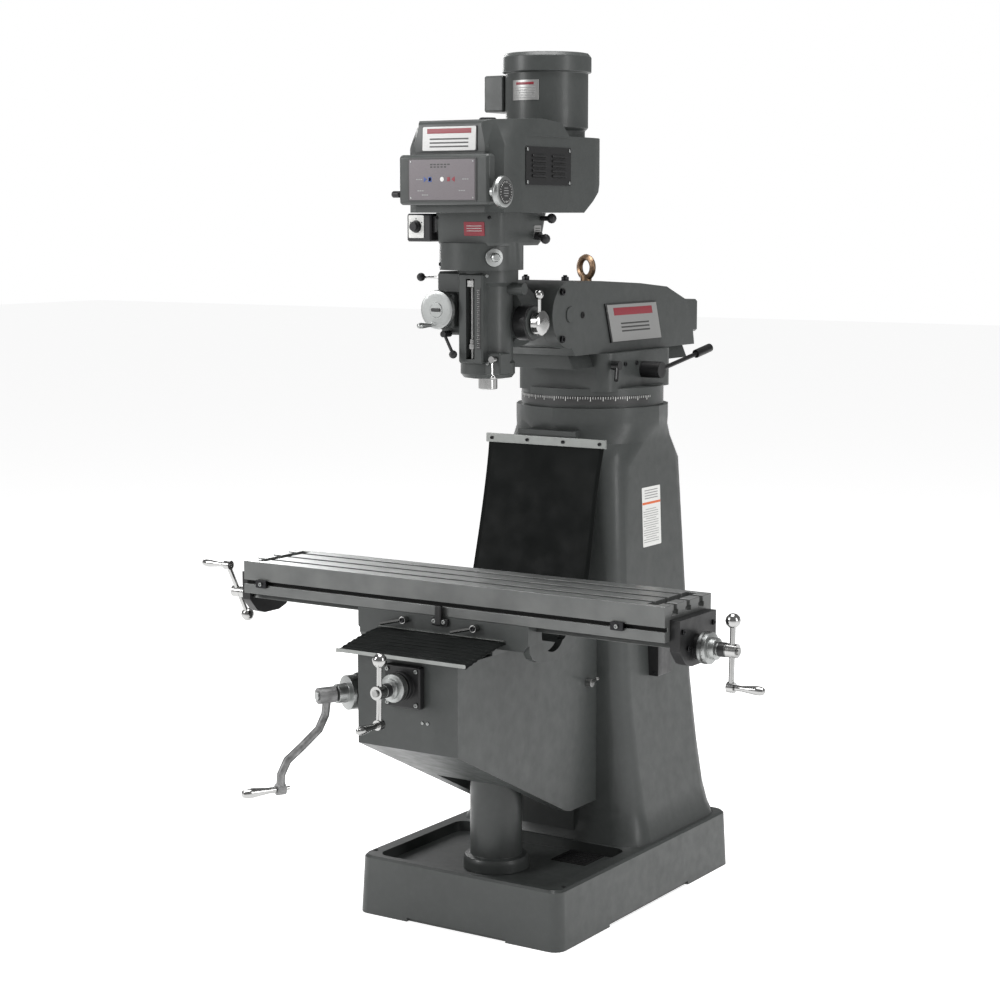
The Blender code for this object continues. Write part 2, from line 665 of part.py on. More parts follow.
def build_long_feed():
    """Long screw through saddle and brackets, with dial and cranks at its ends."""
    screw = disc("table_feed_screw", 0.0110, (-0.660, TABLE_Y, TABLE_FEED_Z), (1, 0, 0), 1.320, 20)
    join(screw, disc("ends", 0.0085, (-0.757, TABLE_Y, TABLE_FEED_Z), (1, 0, 0), 1.514, 20))
    dress(screw, "ground_steel", (0, TABLE_Y, TABLE_FEED_Z), smooth=32)
    profile = [
        (0.0088, 0.0), (0.0370, 0.0), (0.0380, 0.002), (0.0380, 0.022), (0.0260, 0.024),
        (0.0260, 0.038), (0.0160, 0.040), (0.0160, 0.062), (0.0088, 0.062),
    ]
    dial = turned("table_feed_dial", profile, (0.6625, TABLE_Y, TABLE_FEED_Z), (1, 0, 0), 24)
    dress(dial, "satin_aluminium", (0.67, TABLE_Y, TABLE_FEED_Z), smooth=32)
    profile = [
        (0.0088, 0.0), (0.0260, 0.0), (0.0260, 0.034), (0.0160, 0.036), (0.0160, 0.065), (0.0088, 0.065),
    ]
    collar = turned("collar", profile, (-0.6625, TABLE_Y, TABLE_FEED_Z), (-1, 0, 0), 20)
    right = mathutils.Vector((0, math.sin(math.radians(2)), math.cos(math.radians(2))))
    left = mathutils.Vector((0, math.sin(math.radians(28)), -math.cos(math.radians(28))))
    for side, up, reach, word in ((1, right, 0.070, "right"), (-1, left, 0.078, "left")):
        centre = (side * 0.738, TABLE_Y, TABLE_FEED_Z)
        foot = feed_crank("table_crank_" + word, centre, (side, 0, 0), up, reach, 0.086, 0.0088)
        grip("table_handle_" + word, foot, (side, 0, 0), 0.078)
    add_collar(bpy.data.objects["table_crank_left"], collar)


def add_collar(crank, collar):
    """Make a spacing collar one piece with a crank whose origin is already placed."""
    place = crank.location.copy()
    crank.data.transform(mathutils.Matrix.Translation(place))
    crank.location = (0, 0, 0)
    join(crank, collar)
    crank.data.transform(mathutils.Matrix.Translation(-place))
    crank.location = place


# ---- turret, ram and knuckle --------------------------------------------
def build_turret():
    """Swivel ring with its dovetailed top that the ram slides in."""
    ring = disc("turret_casting", 0.191, (0, TURRET_Y, COLUMN_TOP + GAP), (0, 0, 1), 0.050, 64)
    body = [(x, y + TURRET_Y) for x, y in rounded(0.148, -0.166, 0.190, 0.045, 4)]
    join(ring, prism("body", body, "Z", 1.335, 1.4355))
    channel = [
        (-0.0853, 1.46), (-0.0853, 1.4355), (-0.1003, 1.3992),
        (0.1003, 1.3992), (0.0853, 1.4355), (0.0853, 1.46),
    ]
    cut(
        ring,
        prism("channel", channel, "Y", -0.1, 0.6),
        disc("well", 0.085, (0, TURRET_Y, 1.2), (0, 0, 1), 0.3, 32),
    )
    dress(ring, "machine_paint", smooth=32)

    hub = (0.148 + GAP, 0.222, 1.386)
    lever = disc("ram_lever", 0.022, hub, (1, 0, 0), 0.057, 24)
    join(lever, rod("arm", (0.198, 0.228, 1.387), (0.232, 0.400, 1.428), 0.0060, 12))
    join(lever, rod("grip", (0.2265, 0.370, 1.4215), (0.238, 0.430, 1.436), 0.0115, 16))
    dress(lever, "black_paint", (0.148, 0.222, 1.386), smooth=40)

    root = mathutils.Vector((0.148 + GAP, 0.060, 1.405))
    lock = disc("ram_lock_lever", 0.0120, root, (1, 0, 0), 0.022, 16)
    join(lock, rod("arm", shift(root, 0.013, 0, 0), shift(root, 0.030, -0.034, -0.036), 0.0055, 10))
    dress(lock, "black_paint", (0.148, 0.060, 1.405), smooth=40)


def build_ram():
    """Hollow ram with its slide below, round cheeks in front and a narrower tail."""
    side = [
        (NOD_Y, 1.4640), (-0.080, 1.436), (0.562, 1.436), (0.548, 1.505), (0.510, 1.562),
        (0.400, 1.600), (0.250, 1.613), (0.040, 1.6235), (NOD_Y, 1.6235),
    ]
    ram = prism("ram_casting", side, "X", -0.120, 0.120)
    join(ram, block("tail", (-0.075, 0.075), (0.400, 0.668), (1.466, 1.557), 0.006))
    slide = [
        (-0.085, 1.44), (-0.085, 1.4355), (-0.100, 1.3995), (0.100, 1.3995), (0.085, 1.4355), (0.085, 1.44),
    ]
    join(ram, disc("cheeks", 0.0855, (-0.120, NOD_Y, TILT_Z), (1, 0, 0), 0.240, 40))
    join(ram, prism("slide", slide, "Y", -0.060, 0.555))
    seat = disc("seat", 0.0880, (-0.0845, NOD_Y, TILT_Z), (1, 0, 0), 0.169, 40)
    mouth = block("mouth", (-0.0845, 0.0845), (-0.3, NOD_Y), (1.40, 1.70))
    hollow = [(0.000, 1.453), (0.520, 1.453), (0.520, 1.500), (0.480, 1.556), (0.390, 1.586), (0.000, 1.596)]
    cut(
        ram, seat, mouth,
        prism("hollow", hollow, "X", -0.104, 0.104),
        block("tail_bore", (-0.058, 0.058), (0.45, 0.70), (1.480, 1.542)),
        disc("pin_hole", 0.0203, (-0.2, NOD_Y, TILT_Z), (1, 0, 0), 0.4, 24),
    )
    dress(ram, "machine_paint", smooth=32)

    ring = turned("lifting_eye", ring_profile(0.027, 0.0085, 8), (0, 0.171, 1.6545), (0.35, 1, 0), 24)
    join(ring, disc("foot", 0.0150, (0, 0.171, 1.6178), (0, 0, 1), 0.016, 20))
    dress(ring, "bronze", smooth=50)


def ring_profile(major, minor, steps):
    """Round section of a ring about its own axis."""
    points = []
    for i in range(steps):
        turn = 2.0 * math.pi * i / steps
        points.append((major + minor * math.cos(turn), minor * math.sin(turn)))
    return points


def build_knuckle():
    """Tongue between the ram cheeks that carries the head's tilting face."""
    knuckle = disc("knuckle_casting", 0.0850, (-0.0840, NOD_Y, TILT_Z), (1, 0, 0), 0.168, 40)
    join(knuckle, block("neck", (-0.060, 0.060), (-0.195, NOD_Y), (TILT_Z - 0.055, TILT_Z + 0.055)))
    join(knuckle, disc("face", 0.083, (0, -0.1900, TILT_Z), (0, -1, 0), 0.022, 40))
    join(knuckle, disc("pin", 0.0200, (-0.123, NOD_Y, TILT_Z), (1, 0, 0), 0.246, 24))
    dress(knuckle, "machine_paint", (0, NOD_Y, TILT_Z), smooth=32)


# ---- head ---------------------------------------------------------------
def build_head_casting():
    """Quill housing with its front slot, side bosses and tilting flange."""
    profile = [
        (0, HEAD_BOTTOM), (0.060, HEAD_BOTTOM), (0.068, HEAD_BOTTOM + 0.010), (0.068, 1.428),
        (0.063, 1.434), (0.063, 1.618), (0.076, 1.628), (0.076, HEAD_TOP), (0, HEAD_TOP),
    ]
    head = turned("head_casting", profile, (0, SPINDLE_Y, 0), (0, 0, 1), 40)
    join(head, disc("flange", 0.083, (0, -0.2124, TILT_Z), (0, -1, 0), 0.060, 40))
    join(head, block("front", (-0.036, 0.036), (-0.384, -0.290), (1.4295, 1.6500), 0.004))
    join(head, block("apron", (-0.104, 0.004), (-0.362, -0.262), (1.497, 1.610), 0.006))
    join(head, disc("feed_boss", 0.041, (0.0, -0.256, 1.527), (1, 0, 0), 0.108, 32))
    join(head, disc("rate_boss", 0.0150, (0.0, -0.300, 1.612), (1, 0, 0), 0.105, 20))
    join(head, block("shoulder", (-0.112, 0.006), (-0.366, -0.262), (1.598, 1.654), 0.006))
    join(head, block("wheel_carrier", (-0.103, -0.050), (-0.3840, -0.350), (1.515, 1.600), 0.004))
    join(head, block("clamp", (0.030, 0.076), (-0.366, -0.318), (1.402, 1.456), 0.003))
    bore = [(0, 1.3), (0.0433, 1.3), (0.0433, 1.645), (0.030, 1.645), (0.030, 1.8), (0, 1.8)]
    cut(
        head,
        turned("quill_bore", bore, (0, SPINDLE_Y, 0), (0, 0, 1), 44),
        block("slot", (-0.0125, 0.0125), (-0.42, -0.328), (1.4400, 1.6370)),
        disc("wheel_hole", 0.0085, (-0.086, -0.40, 1.560), (0, 1, 0), 0.040, 16),
    )
    dress(head, "machine_paint", (0, SPINDLE_Y, TILT_Z), smooth=32)


def build_quill_group():
    """Quill with its stop lug, spindle, and the depth stop in the front slot."""
    quill = tube("quill", 0.0430, 0.0203, (0, SPINDLE_Y, 1.3895), (0, 0, 1), 0.249, 40)
    join(quill, block("lug", (-0.0095, 0.0095), (-0.3830, -0.3440), (1.6170, 1.6340), 0.001))
    cut(quill, disc("lug_hole", 0.0052, (0, -0.3720, 1.6), (0, 0, 1), 0.05, 12))
    dress(quill, "ground_steel", (0, SPINDLE_Y, 1.45), smooth=32)

    profile = [
        (0, 0.102), (0.0120, 0.100), (0.0120, 0.024), (0.0158, 0.0), (0.0225, 0.0), (0.0238, 0.0015),
        (0.0238, 0.0268), (0.0200, 0.0270), (0.0200, 0.268), (0.0110, 0.270), (0.0110, 0.585), (0, 0.585),
    ]
    spindle = turned("spindle", profile, (0, SPINDLE_Y, NOSE_BOTTOM), (0, 0, 1), 32)
    dress(spindle, "bright_chrome", (0, SPINDLE_Y, NOSE_BOTTOM), smooth=32)

    stop_rod = disc("depth_stop_rod", 0.0045, (0, -0.3720, 1.4403), (0, 0, 1), 0.1964, 12)
    dress(stop_rod, "ground_steel", smooth=40)
    profile = [
        (0.0049, 0.0), (0.0110, 0.0), (0.0110, 0.012), (0.0085, 0.013), (0.0085, 0.0235), (0.0049, 0.0235),
    ]
    nut = turned("depth_stop_nut", profile, (0, -0.3720, 1.4650), (0, 0, 1), 20)
    dress(nut, "bright_chrome", (0, -0.3720, 1.4650), smooth=30)


def build_head_controls():
    """Every lever, wheel and knob on the quill housing and gear case."""
    profile = [
        (0, -0.022), (0.0082, -0.022), (0.0082, 0.0005), (0.016, 0.0005), (0.018, 0.012), (0.036, 0.016),
        (0.040, 0.006), (0.047, 0.006), (0.049, 0.012), (0.047, 0.020), (0.038, 0.022),
        (0.016, 0.022), (0, 0.024),
    ]
    wheel = turned("fine_feed_wheel", profile, (-0.086, -0.3845, 1.560), (0, -1, 0), 28)
    stem = [(0, -0.010), (0.0045, -0.010), (0.0045, 0.004)]
    stem += handle_profile(0.048, 0.0075)[1:]
    join(wheel, turned("grip", stem, (-0.100, -0.4000, 1.5215), (-0.35, -1, 0), 12))
    dress(wheel, "satin_aluminium", (-0.086, -0.3845, 1.560), smooth=40)

    start = (0.1085, -0.256, 1.527)
    profile = [
        (0, 0.0), (0.020, 0.0), (0.031, 0.004), (0.031, 0.022), (0.024, 0.028), (0.012, 0.030), (0, 0.030),
    ]
    lever = turned("quill_feed_lever", profile, start, (1, 0, 0), 24)
    tip = mathutils.Vector((0.1345, -0.280, 1.598))
    join(lever, rod("arm", (0.123, -0.262, 1.544), tip, 0.0050, 12))
    join(lever, ball("end", tip, 0.0120, 12, 6))
    dress(lever, "bright_chrome", start, smooth=40)

    start = mathutils.Vector((0.062, -0.3663, 1.441))
    lock = disc("quill_lock_lever", 0.0085, start, (0, -1, 0), 0.018, 16)
    join(lock, rod("arm", shift(start, 0, -0.010, 0), shift(start, 0.010, -0.024, -0.040), 0.0040, 10))
    join(lock, ball("end", shift(start, 0.010, -0.024, -0.042), 0.0075, 12, 6))
    dress(lock, "bright_chrome", start, smooth=40)

    start = mathutils.Vector((-0.1123, -0.336, 1.638))
    engage = disc("feed_engage_lever", 0.0055, start, (-1, 0, 0), 0.062, 12)
    join(engage, ball("end", shift(start, -0.068, 0, 0), 0.0110, 12, 6))
    dress(engage, "bright_chrome", start, smooth=40)

    trip = mathutils.Vector((-0.036, -0.406, 1.452))
    pivot = (-0.076, -0.3625, 1.5000)
    feed = disc("feed_trip_lever", 0.0080, pivot, (0, -1, 0), 0.030, 16)
    join(feed, rod("arm", (-0.076, -0.386, 1.500), trip, 0.0040, 10))
    join(feed, ball("end", trip, 0.0105, 12, 6))
    dress(feed, "black_plastic", pivot, smooth=40)



def build_gear_case():
    """Turned lower case flaring into the flat-sided upper case."""
    lower = disc("gear_case", 0.104, (CASE_X, CASE_Y, HEAD_TOP + GAP), (0, 0, 1), 0.066, 40)
    rings = []
    for z, half_x, low_y, high_y in ((1.7180, 0.092, -0.398, -0.196), (1.7260, 0.096, -0.402, -0.190),
                                     (GEAR_TOP - GAP, 0.100, -0.406, -0.172)):
        rings.append([(x, y, z) for x, y in rounded(half_x, low_y, high_y, 0.030, 4)])
    join(lower, loft("upper", rings))
    cut(
        lower,
        disc("bore", 0.070, (0, SPINDLE_Y, 1.69), (0, 0, 1), 0.2, 32),
        disc("shaft", 0.016, (0, SPINDLE_Y, 1.6), (0, 0, 1), 0.3, 24),
    )
    dress(lower, "machine_paint", smooth=32)

    facing = (math.sin(SELECTOR_TURN), -math.cos(SELECTOR_TURN), 0.0)
    start = (CASE_X + 0.1043 * facing[0], CASE_Y + 0.1043 * facing[1], 1.690)
    profile = [
        (0, 0.0), (0.0220, 0.0), (0.0220, 0.006), (0.011, 0.007), (0.011, 0.020), (0.008, 0.024), (0, 0.024),
    ]
    selector = turned("feed_selector", profile, start, facing, 28)
    dress(selector, "satin_aluminium", start, smooth=32)

    start = mathutils.Vector((0.0978, -0.236, 1.741))
    brake = disc("brake_lever", 0.0100, start, (1, 0, 0), 0.014, 16)
    join(brake, rod("arm", shift(start, 0.008, 0, 0), shift(start, 0.036, -0.020, -0.006), 0.0050, 10))
    join(brake, ball("end", shift(start, 0.042, -0.024, -0.007), 0.0125, 12, 6))
    dress(brake, "black_plastic", start, smooth=40)

    speed_range = disc("range_lever", 0.0060, (0.1002, -0.215, 1.784), (1, 0, 0), 0.026, 12)
    join(speed_range, ball("end", (0.1300, -0.215, 1.784), 0.0125, 12, 6))
    dress(speed_range, "black_plastic", (0.1002, -0.215, 1.784), smooth=40)

    box = block("switch_box", (-0.186, -0.112), (-0.390, -0.330), (1.7270, 1.7960), 0.004)
    join(box, block("neck", (-0.118, -0.1004), (-0.380, -0.340), (1.750, 1.790)))
    dress(box, "black_plastic")
    start = (-0.156, -0.3903, 1.7640)
    profile = [(0, 0.0), (0.0130, 0.0), (0.0130, 0.010), (0.0105, 0.016), (0, 0.016)]
    knob = turned("switch_knob", profile, start, (0, -1, 0), 20)
    dress(knob, "black_plastic", start, smooth=32)


def housing_outline(inset=0.0):
    """Plan of the belt housing: square front, round back."""
    points = [
        (0.100 - inset, -0.4700 + inset), (0.137 - inset, -0.4420 + inset), (0.155 - inset, -0.390),
    ]
    for i in range(13):
        turn = math.radians(180.0 * i / 12)
        points.append(((0.155 - inset) * math.cos(turn), -0.055 + (0.130 - inset) * math.sin(turn)))
    points += [(-x, y) for x, y in points[2::-1]]
    return points


# half plan of the lid's front, where it meets the housing and at its top
LID_FRONT = (
    (1.930, ((0.1030, -0.4760), (0.1400, -0.4460), (0.1580, -0.3900), (0.1580, -0.3200))),
    (1.941, ((0.1030, -0.4760), (0.1400, -0.4460), (0.1580, -0.3900), (0.1580, -0.3200))),
    (2.034, ((0.0810, -0.4700), (0.1030, -0.4400), (0.1370, -0.3880), (0.1580, -0.3200))),
)


def lid_shell():
    """Space under the lid's sides: upright at the back, its front corners drawn in towards the top."""
    rings = []
    for z, front in LID_FRONT:
        points = list(front)
        for i in range(13):
            turn = math.radians(180.0 * i / 12)
            points.append((0.158 * math.cos(turn), -0.055 + 0.133 * math.sin(turn)))
        points += [(-x, y) for x, y in front[::-1]]
        rings.append([(x, y, z) for x, y in points])
    return loft("lid_shell", rings)


def build_belt_housing():
    """Hollow housing over the two pulleys, its tail cut up at a slope."""
    housing = prism("belt_housing", housing_outline(), "Z", GEAR_TOP, HOUSING_TOP)
    tail = [(-0.112, 1.79), (0.10, 1.930), (0.10, 1.70), (-0.112, 1.70)]
    hollow = prism("hollow", housing_outline(0.009), "Z", GEAR_TOP + 0.009, HOUSING_TOP - 0.010)
    inner_tail = [(-0.128, 1.79), (0.10, 1.941), (0.10, 1.70), (-0.128, 1.70)]
    cut(
        hollow,
        prism("tail", inner_tail, "X", -0.3, 0.3),
        block("front_step", (-0.3, 0.3), (-0.6, -0.390), (1.933, 2.0)),
    )
    cut(
        housing,
        prism("tail", tail, "X", -0.3, 0.3),
        hollow,
        disc("spindle_hole", 0.050, (0, SPINDLE_Y, 1.7), (0, 0, 1), 0.15, 32),
        disc("motor_hole", 0.030, (0, MOTOR_Y, 1.9), (0, 0, 1), 0.2, 24),
    )
    crown = [
        (-0.4720, 1.9420), (-0.4695, 2.0050), (-0.4640, 2.0140), (-0.4500, 2.0185),
        (-0.3000, 2.0240), (-0.2100, 2.0160), (-0.1700, 1.9810), (-0.4650, 1.9810), (-0.4650, 1.9420),
    ]
    lid = prism("crown", crown, "X", -0.2, 0.2)
    combine(lid, "INTERSECT", [prism("plan", housing_outline(-0.0012), "Z", 1.90, 2.10)])
    join(housing, lid)
    corners = block("corners", (-0.3, 0.3), (-0.6, -0.290), (1.936, 2.1))
    cut(corners, lid_shell())
    cut(housing, corners)
    dress(housing, "machine_paint", smooth=32)

    front = block("speed_change_box", (-0.129, 0.133), (-0.503, -0.4705), (1.816, 1.936), 0.006)
    dress(front, "machine_paint")
    start = (0.1333, -0.489, 1.846)
    profile = [
        (0, 0.0), (0.012, 0.0), (0.012, 0.018), (0.028, 0.020), (0.036, 0.023), (0.039, 0.030),
        (0.036, 0.037), (0.029, 0.039), (0, 0.039),
    ]
    dial = turned("speed_dial", profile, start, (1, 0, 0), 28)
    dress(dial, "satin_aluminium", start, smooth=40)


def belt_loop(large, small, steps=20):
    """Outline of a belt around the spindle and motor centres at the given radii."""
    span = MOTOR_Y - SPINDLE_Y
    lean = math.asin((large - small) / span)
    points = []
    for i in range(steps + 1):
        turn = math.pi - lean + (math.pi + 2.0 * lean) * i / steps
        points.append((large * math.cos(turn), SPINDLE_Y + large * math.sin(turn)))
    for i in range(steps + 1):
        turn = lean + (math.pi - 2.0 * lean) * i / steps
        points.append((small * math.cos(turn), MOTOR_Y + small * math.sin(turn)))
    return points


def build_drive():
    """Pulleys and belt inside the housing, motor and its terminal box above."""
    profile = [
        (0.0113, 1.803), (0.0200, 1.803), (0.0200, 1.905), (0.078, 1.905), (0.078, 1.910),
        (0.062, 1.921), (0.062, 1.929), (0.078, 1.940), (0.078, 1.945), (0.0113, 1.945),
    ]
    low = turned("spindle_pulley", profile, (0, SPINDLE_Y, 0), (0, 0, 1), 24)
    dress(low, "satin_aluminium", (0, SPINDLE_Y, 1.92), smooth=32)
    profile = [
        (0, 1.905), (0.055, 1.905), (0.055, 1.910), (0.044, 1.921), (0.044, 1.929), (0.055, 1.940),
        (0.055, 1.945), (0.012, 1.946), (0.012, 1.996), (0, 1.996),
    ]
    high = turned("motor_pulley", profile, (0, MOTOR_Y, 0), (0, 0, 1), 24)
    dress(high, "satin_aluminium", (0, MOTOR_Y, 1.92), smooth=32)
    belt = prism("drive_belt", belt_loop(0.0700, 0.0520), "Z", 1.9220, 1.9280)
    cut(belt, prism("inside", belt_loop(0.0632, 0.0452), "Z", 1.90, 1.95))
    dress(belt, "black_rubber", smooth=40)

    profile = [
        (0.0, 1.998), (0.090, 1.998), (0.104, 2.010), (0.106, 2.014), (0.106, 2.150), (0.1140, 2.152),
        (0.1140, 2.190), (0.106, MOTOR_TOP), (0, MOTOR_TOP),
    ]
    motor = turned("motor", profile, (0, MOTOR_Y, 0), (0, 0, 1), 48)
    join(motor, disc("foot", 0.098, (0, MOTOR_Y, HOUSING_TOP + GAP), (0, 0, 1), 0.020, 48))
    cut(motor, disc("shaft_seat", 0.0125, (0, MOTOR_Y, 1.9), (0, 0, 1), 0.110, 24))
    dress(motor, "machine_paint", smooth=32)

    box = block("terminal_box", (-0.1640, -0.1030), (-0.075, 0.015), (2.055, 2.148), 0.004)
    cut(box, disc("seat", 0.1063, (0, MOTOR_Y, 2.0), (0, 0, 1), 0.16, 48))
    dress(box, "black_paint")


def main():
    clear_scene()
    build_column_base()
    build_pedestal()
    build_way_covers()
    build_knee()
    build_elevating_screw()
    build_knee_crank()
    build_cross_feed()
    build_saddle()
    build_table()
    build_long_feed()
    build_turret()
    build_ram()
    build_knuckle()
    build_head_casting()
    build_quill_group()
    build_head_controls()
    build_gear_case()
    build_belt_housing()
    build_drive()
    for thing in bpy.data.objects:
        thing.location.y += SET_BACK


main()
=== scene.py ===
"""Looks of the vertical milling machine: finishes on the CAD pieces, plus plates, screws, dials and covers.

Everything is in metres in the row frame: +X to the operator's right, -Y towards the operator, +Z up.
"""

import json
import math

import bmesh
import bpy
from mathutils import Matrix, Vector
from mathutils.bvhtree import BVHTree

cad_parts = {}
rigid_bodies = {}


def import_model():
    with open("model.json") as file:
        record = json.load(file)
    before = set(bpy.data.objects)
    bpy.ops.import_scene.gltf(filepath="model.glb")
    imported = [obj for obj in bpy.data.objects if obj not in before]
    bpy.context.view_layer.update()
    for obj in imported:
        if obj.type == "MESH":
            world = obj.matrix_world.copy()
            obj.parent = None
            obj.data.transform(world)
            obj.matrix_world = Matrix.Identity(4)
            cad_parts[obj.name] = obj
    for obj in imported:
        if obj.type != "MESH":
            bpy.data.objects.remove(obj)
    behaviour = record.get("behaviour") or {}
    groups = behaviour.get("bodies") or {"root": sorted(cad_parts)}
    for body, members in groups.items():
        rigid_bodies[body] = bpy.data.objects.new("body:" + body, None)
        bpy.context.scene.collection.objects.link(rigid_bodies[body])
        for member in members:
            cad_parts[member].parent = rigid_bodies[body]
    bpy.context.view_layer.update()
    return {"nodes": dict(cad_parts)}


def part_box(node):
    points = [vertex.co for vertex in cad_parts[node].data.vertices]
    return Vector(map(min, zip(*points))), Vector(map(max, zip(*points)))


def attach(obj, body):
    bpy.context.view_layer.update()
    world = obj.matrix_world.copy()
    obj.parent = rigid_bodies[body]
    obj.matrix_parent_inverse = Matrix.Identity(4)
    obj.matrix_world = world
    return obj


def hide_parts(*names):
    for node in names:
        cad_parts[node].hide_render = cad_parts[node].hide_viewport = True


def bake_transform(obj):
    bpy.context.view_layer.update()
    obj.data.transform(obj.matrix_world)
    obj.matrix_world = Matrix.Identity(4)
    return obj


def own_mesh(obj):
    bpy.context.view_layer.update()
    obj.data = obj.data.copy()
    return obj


for leftover in list(bpy.data.objects):
    bpy.data.objects.remove(leftover)
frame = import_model()
NODES = frame["nodes"]

# ---- camera and light ----------------------------------------------------
CAMERA_PLACE = (2.9635, -4.6904, 1.7877)
CAMERA_TURN = math.radians(33.043)
CAMERA_DROP = math.radians(7.461)
CAMERA_LENS = 77.815
SENSOR = 36.0
WORLD_LIGHT = 0.26
FLOOR_GLOW = 0.72
X, Y, Z = Vector((1, 0, 0)), Vector((0, 1, 0)), Vector((0, 0, 1))

# ---- colours, linear -----------------------------------------------------
ENAMEL = (0.046, 0.050, 0.0485)
BLACK = (0.007, 0.007, 0.0075)
STEEL = (0.50, 0.50, 0.49)
RED = (0.21, 0.004, 0.016)
SILVER = (0.31, 0.31, 0.305)

# ---- places on the machine ----------------------------------------------
SPINDLE_Y = -0.190
MOTOR_Y = 0.085
MOTOR_RADIUS = 0.1058
TURRET_Y = 0.323
TABLE_Y = -0.285
FEED_Z = 0.794
CROSS_Z = 0.675
HEAD_STEPS = 24
THREAD_STEPS = 10


# ---- materials -----------------------------------------------------------
class Finish:
    """One material, with short calls for the nodes that it needs."""

    def __init__(self, name, colour, metallic=0.0, roughness=0.4, coat=0.0):
        self.material = bpy.data.materials.new(name)
        self.material.use_nodes = True
        self.tree = self.material.node_tree
        self.shader = self.tree.nodes["Principled BSDF"]
        self.shader.inputs["Base Color"].default_value = (*colour, 1.0)
        self.shader.inputs["Metallic"].default_value = metallic
        self.shader.inputs["Roughness"].default_value = roughness
        self.shader.inputs["Coat Weight"].default_value = coat
        self.shader.inputs["Coat Roughness"].default_value = 0.18
        self.colour = colour
        self.heights = []

    def add(self, kind, **inputs):
        node = self.tree.nodes.new(kind)
        for key, value in inputs.items():
            socket = node.inputs[key.replace("_", " ")]
            if isinstance(value, bpy.types.NodeSocket):
                self.tree.links.new(value, socket)
            else:
                socket.default_value = value
        return node

    def place(self, stretch=(1, 1, 1)):
        where = self.add("ShaderNodeTexCoord").outputs["Object"]
        return self.add("ShaderNodeMapping", Vector=where, Scale=stretch).outputs["Vector"]

    def noise(self, scale, detail=3.0, stretch=(1, 1, 1)):
        node = self.add("ShaderNodeTexNoise", Vector=self.place(stretch), Scale=scale, Detail=detail)
        return node.outputs["Fac"]

    def spread(self, source, low, high, start=0.3, end=0.7):
        node = self.add(
            "ShaderNodeMapRange", Value=source, From_Min=start, From_Max=end, To_Min=low, To_Max=high
        )
        return node.outputs["Result"]

    def mix(self, factor, first, second):
        node = self.tree.nodes.new("ShaderNodeMix")
        node.data_type = "RGBA"
        for socket, value in ((node.inputs[0], factor), (node.inputs[6], first), (node.inputs[7], second)):
            if isinstance(value, bpy.types.NodeSocket):
                self.tree.links.new(value, socket)
            else:
                socket.default_value = value if isinstance(value, float) else (*value, 1.0)
        return node.outputs[2]

    def drive(self, name, source):
        self.tree.links.new(source, self.shader.inputs[name])

    def bump(self, source, strength, distance):
        """Adds one layer of relief on top of those already there."""
        before = self.heights[-1] if self.heights else None
        node = self.add("ShaderNodeBump", Height=source, Strength=strength, Distance=distance)
        if before:
            self.tree.links.new(before, node.inputs["Normal"])
        self.heights.append(node.outputs["Normal"])
        self.drive("Normal", node.outputs["Normal"])

    def facing_up(self, start=0.7, end=0.9):
        normal = self.add("ShaderNodeNewGeometry").outputs["Normal"]
        parts = self.add("ShaderNodeSeparateXYZ", Vector=normal)
        return self.spread(parts.outputs["Z"], 0.0, 1.0, start, end)


def shade(colour, amount):
    return tuple(min(1.0, c * amount) for c in colour)


def enamel(name="machine_enamel", colour=ENAMEL):
    """Semi-gloss enamel sprayed over a filled casting: broad waves, orange peel, faint dust on top."""
    f = Finish(name, colour, 0.0, 0.42, coat=0.12)
    f.shader.inputs["Specular IOR Level"].default_value = 0.36
    patches = f.spread(f.noise(5.0, 4.0), 0.0, 1.0)
    body = f.mix(patches, shade(colour, 0.93), shade(colour, 1.06))
    dust = f.spread(f.noise(60.0, 5.0), 0.0, 0.10, 0.45, 0.75)
    f.drive("Base Color", f.mix(dust, body, shade(colour, 1.9)))
    f.drive("Roughness", f.spread(f.noise(32.0, 4.0), 0.36, 0.50))
    f.bump(f.noise(26.0, 2.0), 0.10, 0.004)
    f.bump(f.noise(420.0, 2.0), 0.10, 0.0006)
    return f.material


def ground_table():
    """Ground iron, with fine grinding lines along the travel. Painted light: faces that point up get a pale,
    fully metallic painted highlight, and all other faces get painted shade, darker and less metallic.
    """
    f = Finish("ground_iron", STEEL, 1.0, 0.34)
    lines = f.noise(38.0, 6.0, (0.6, 30.0, 30.0))
    blotch = f.spread(f.noise(14.0, 4.0), 0.0, 1.0)
    # painted shade: the darker colour given to every face that doesn't point up
    side = f.mix(blotch, (0.115, 0.119, 0.117), (0.148, 0.152, 0.149))
    # painted highlight: the paler colour given to faces that point up
    top = f.mix(f.spread(lines, 0.0, 1.0), (0.36, 0.37, 0.37), (0.60, 0.61, 0.60))
    f.drive("Base Color", f.mix(f.facing_up(), side, top))
    f.drive("Roughness", f.spread(lines, 0.28, 0.46))
    # painted shade: faces that don't point up are made less metallic than the top
    f.drive("Metallic", f.spread(f.facing_up(), 0.55, 1.0, 0.0, 1.0))
    f.bump(lines, 0.16, 0.0006)
    return f.material


def metal(name, colour, roughness, grain=(1, 1, 1), scale=220.0, relief=0.06):
    """Bare metal: fine machining lines along the grain, and slightly uneven polish."""
    f = Finish(name, colour, 1.0, roughness)
    lines = f.noise(scale, 4.0, grain)
    wear = f.spread(f.noise(24.0, 5.0), 0.0, 1.0, 0.35, 0.75)
    f.drive("Base Color", f.mix(wear, colour, shade(colour, 0.84)))
    f.drive("Roughness", f.spread(lines, roughness * 0.8, roughness * 1.35))
    f.bump(lines, relief, 0.0004)
    return f.material


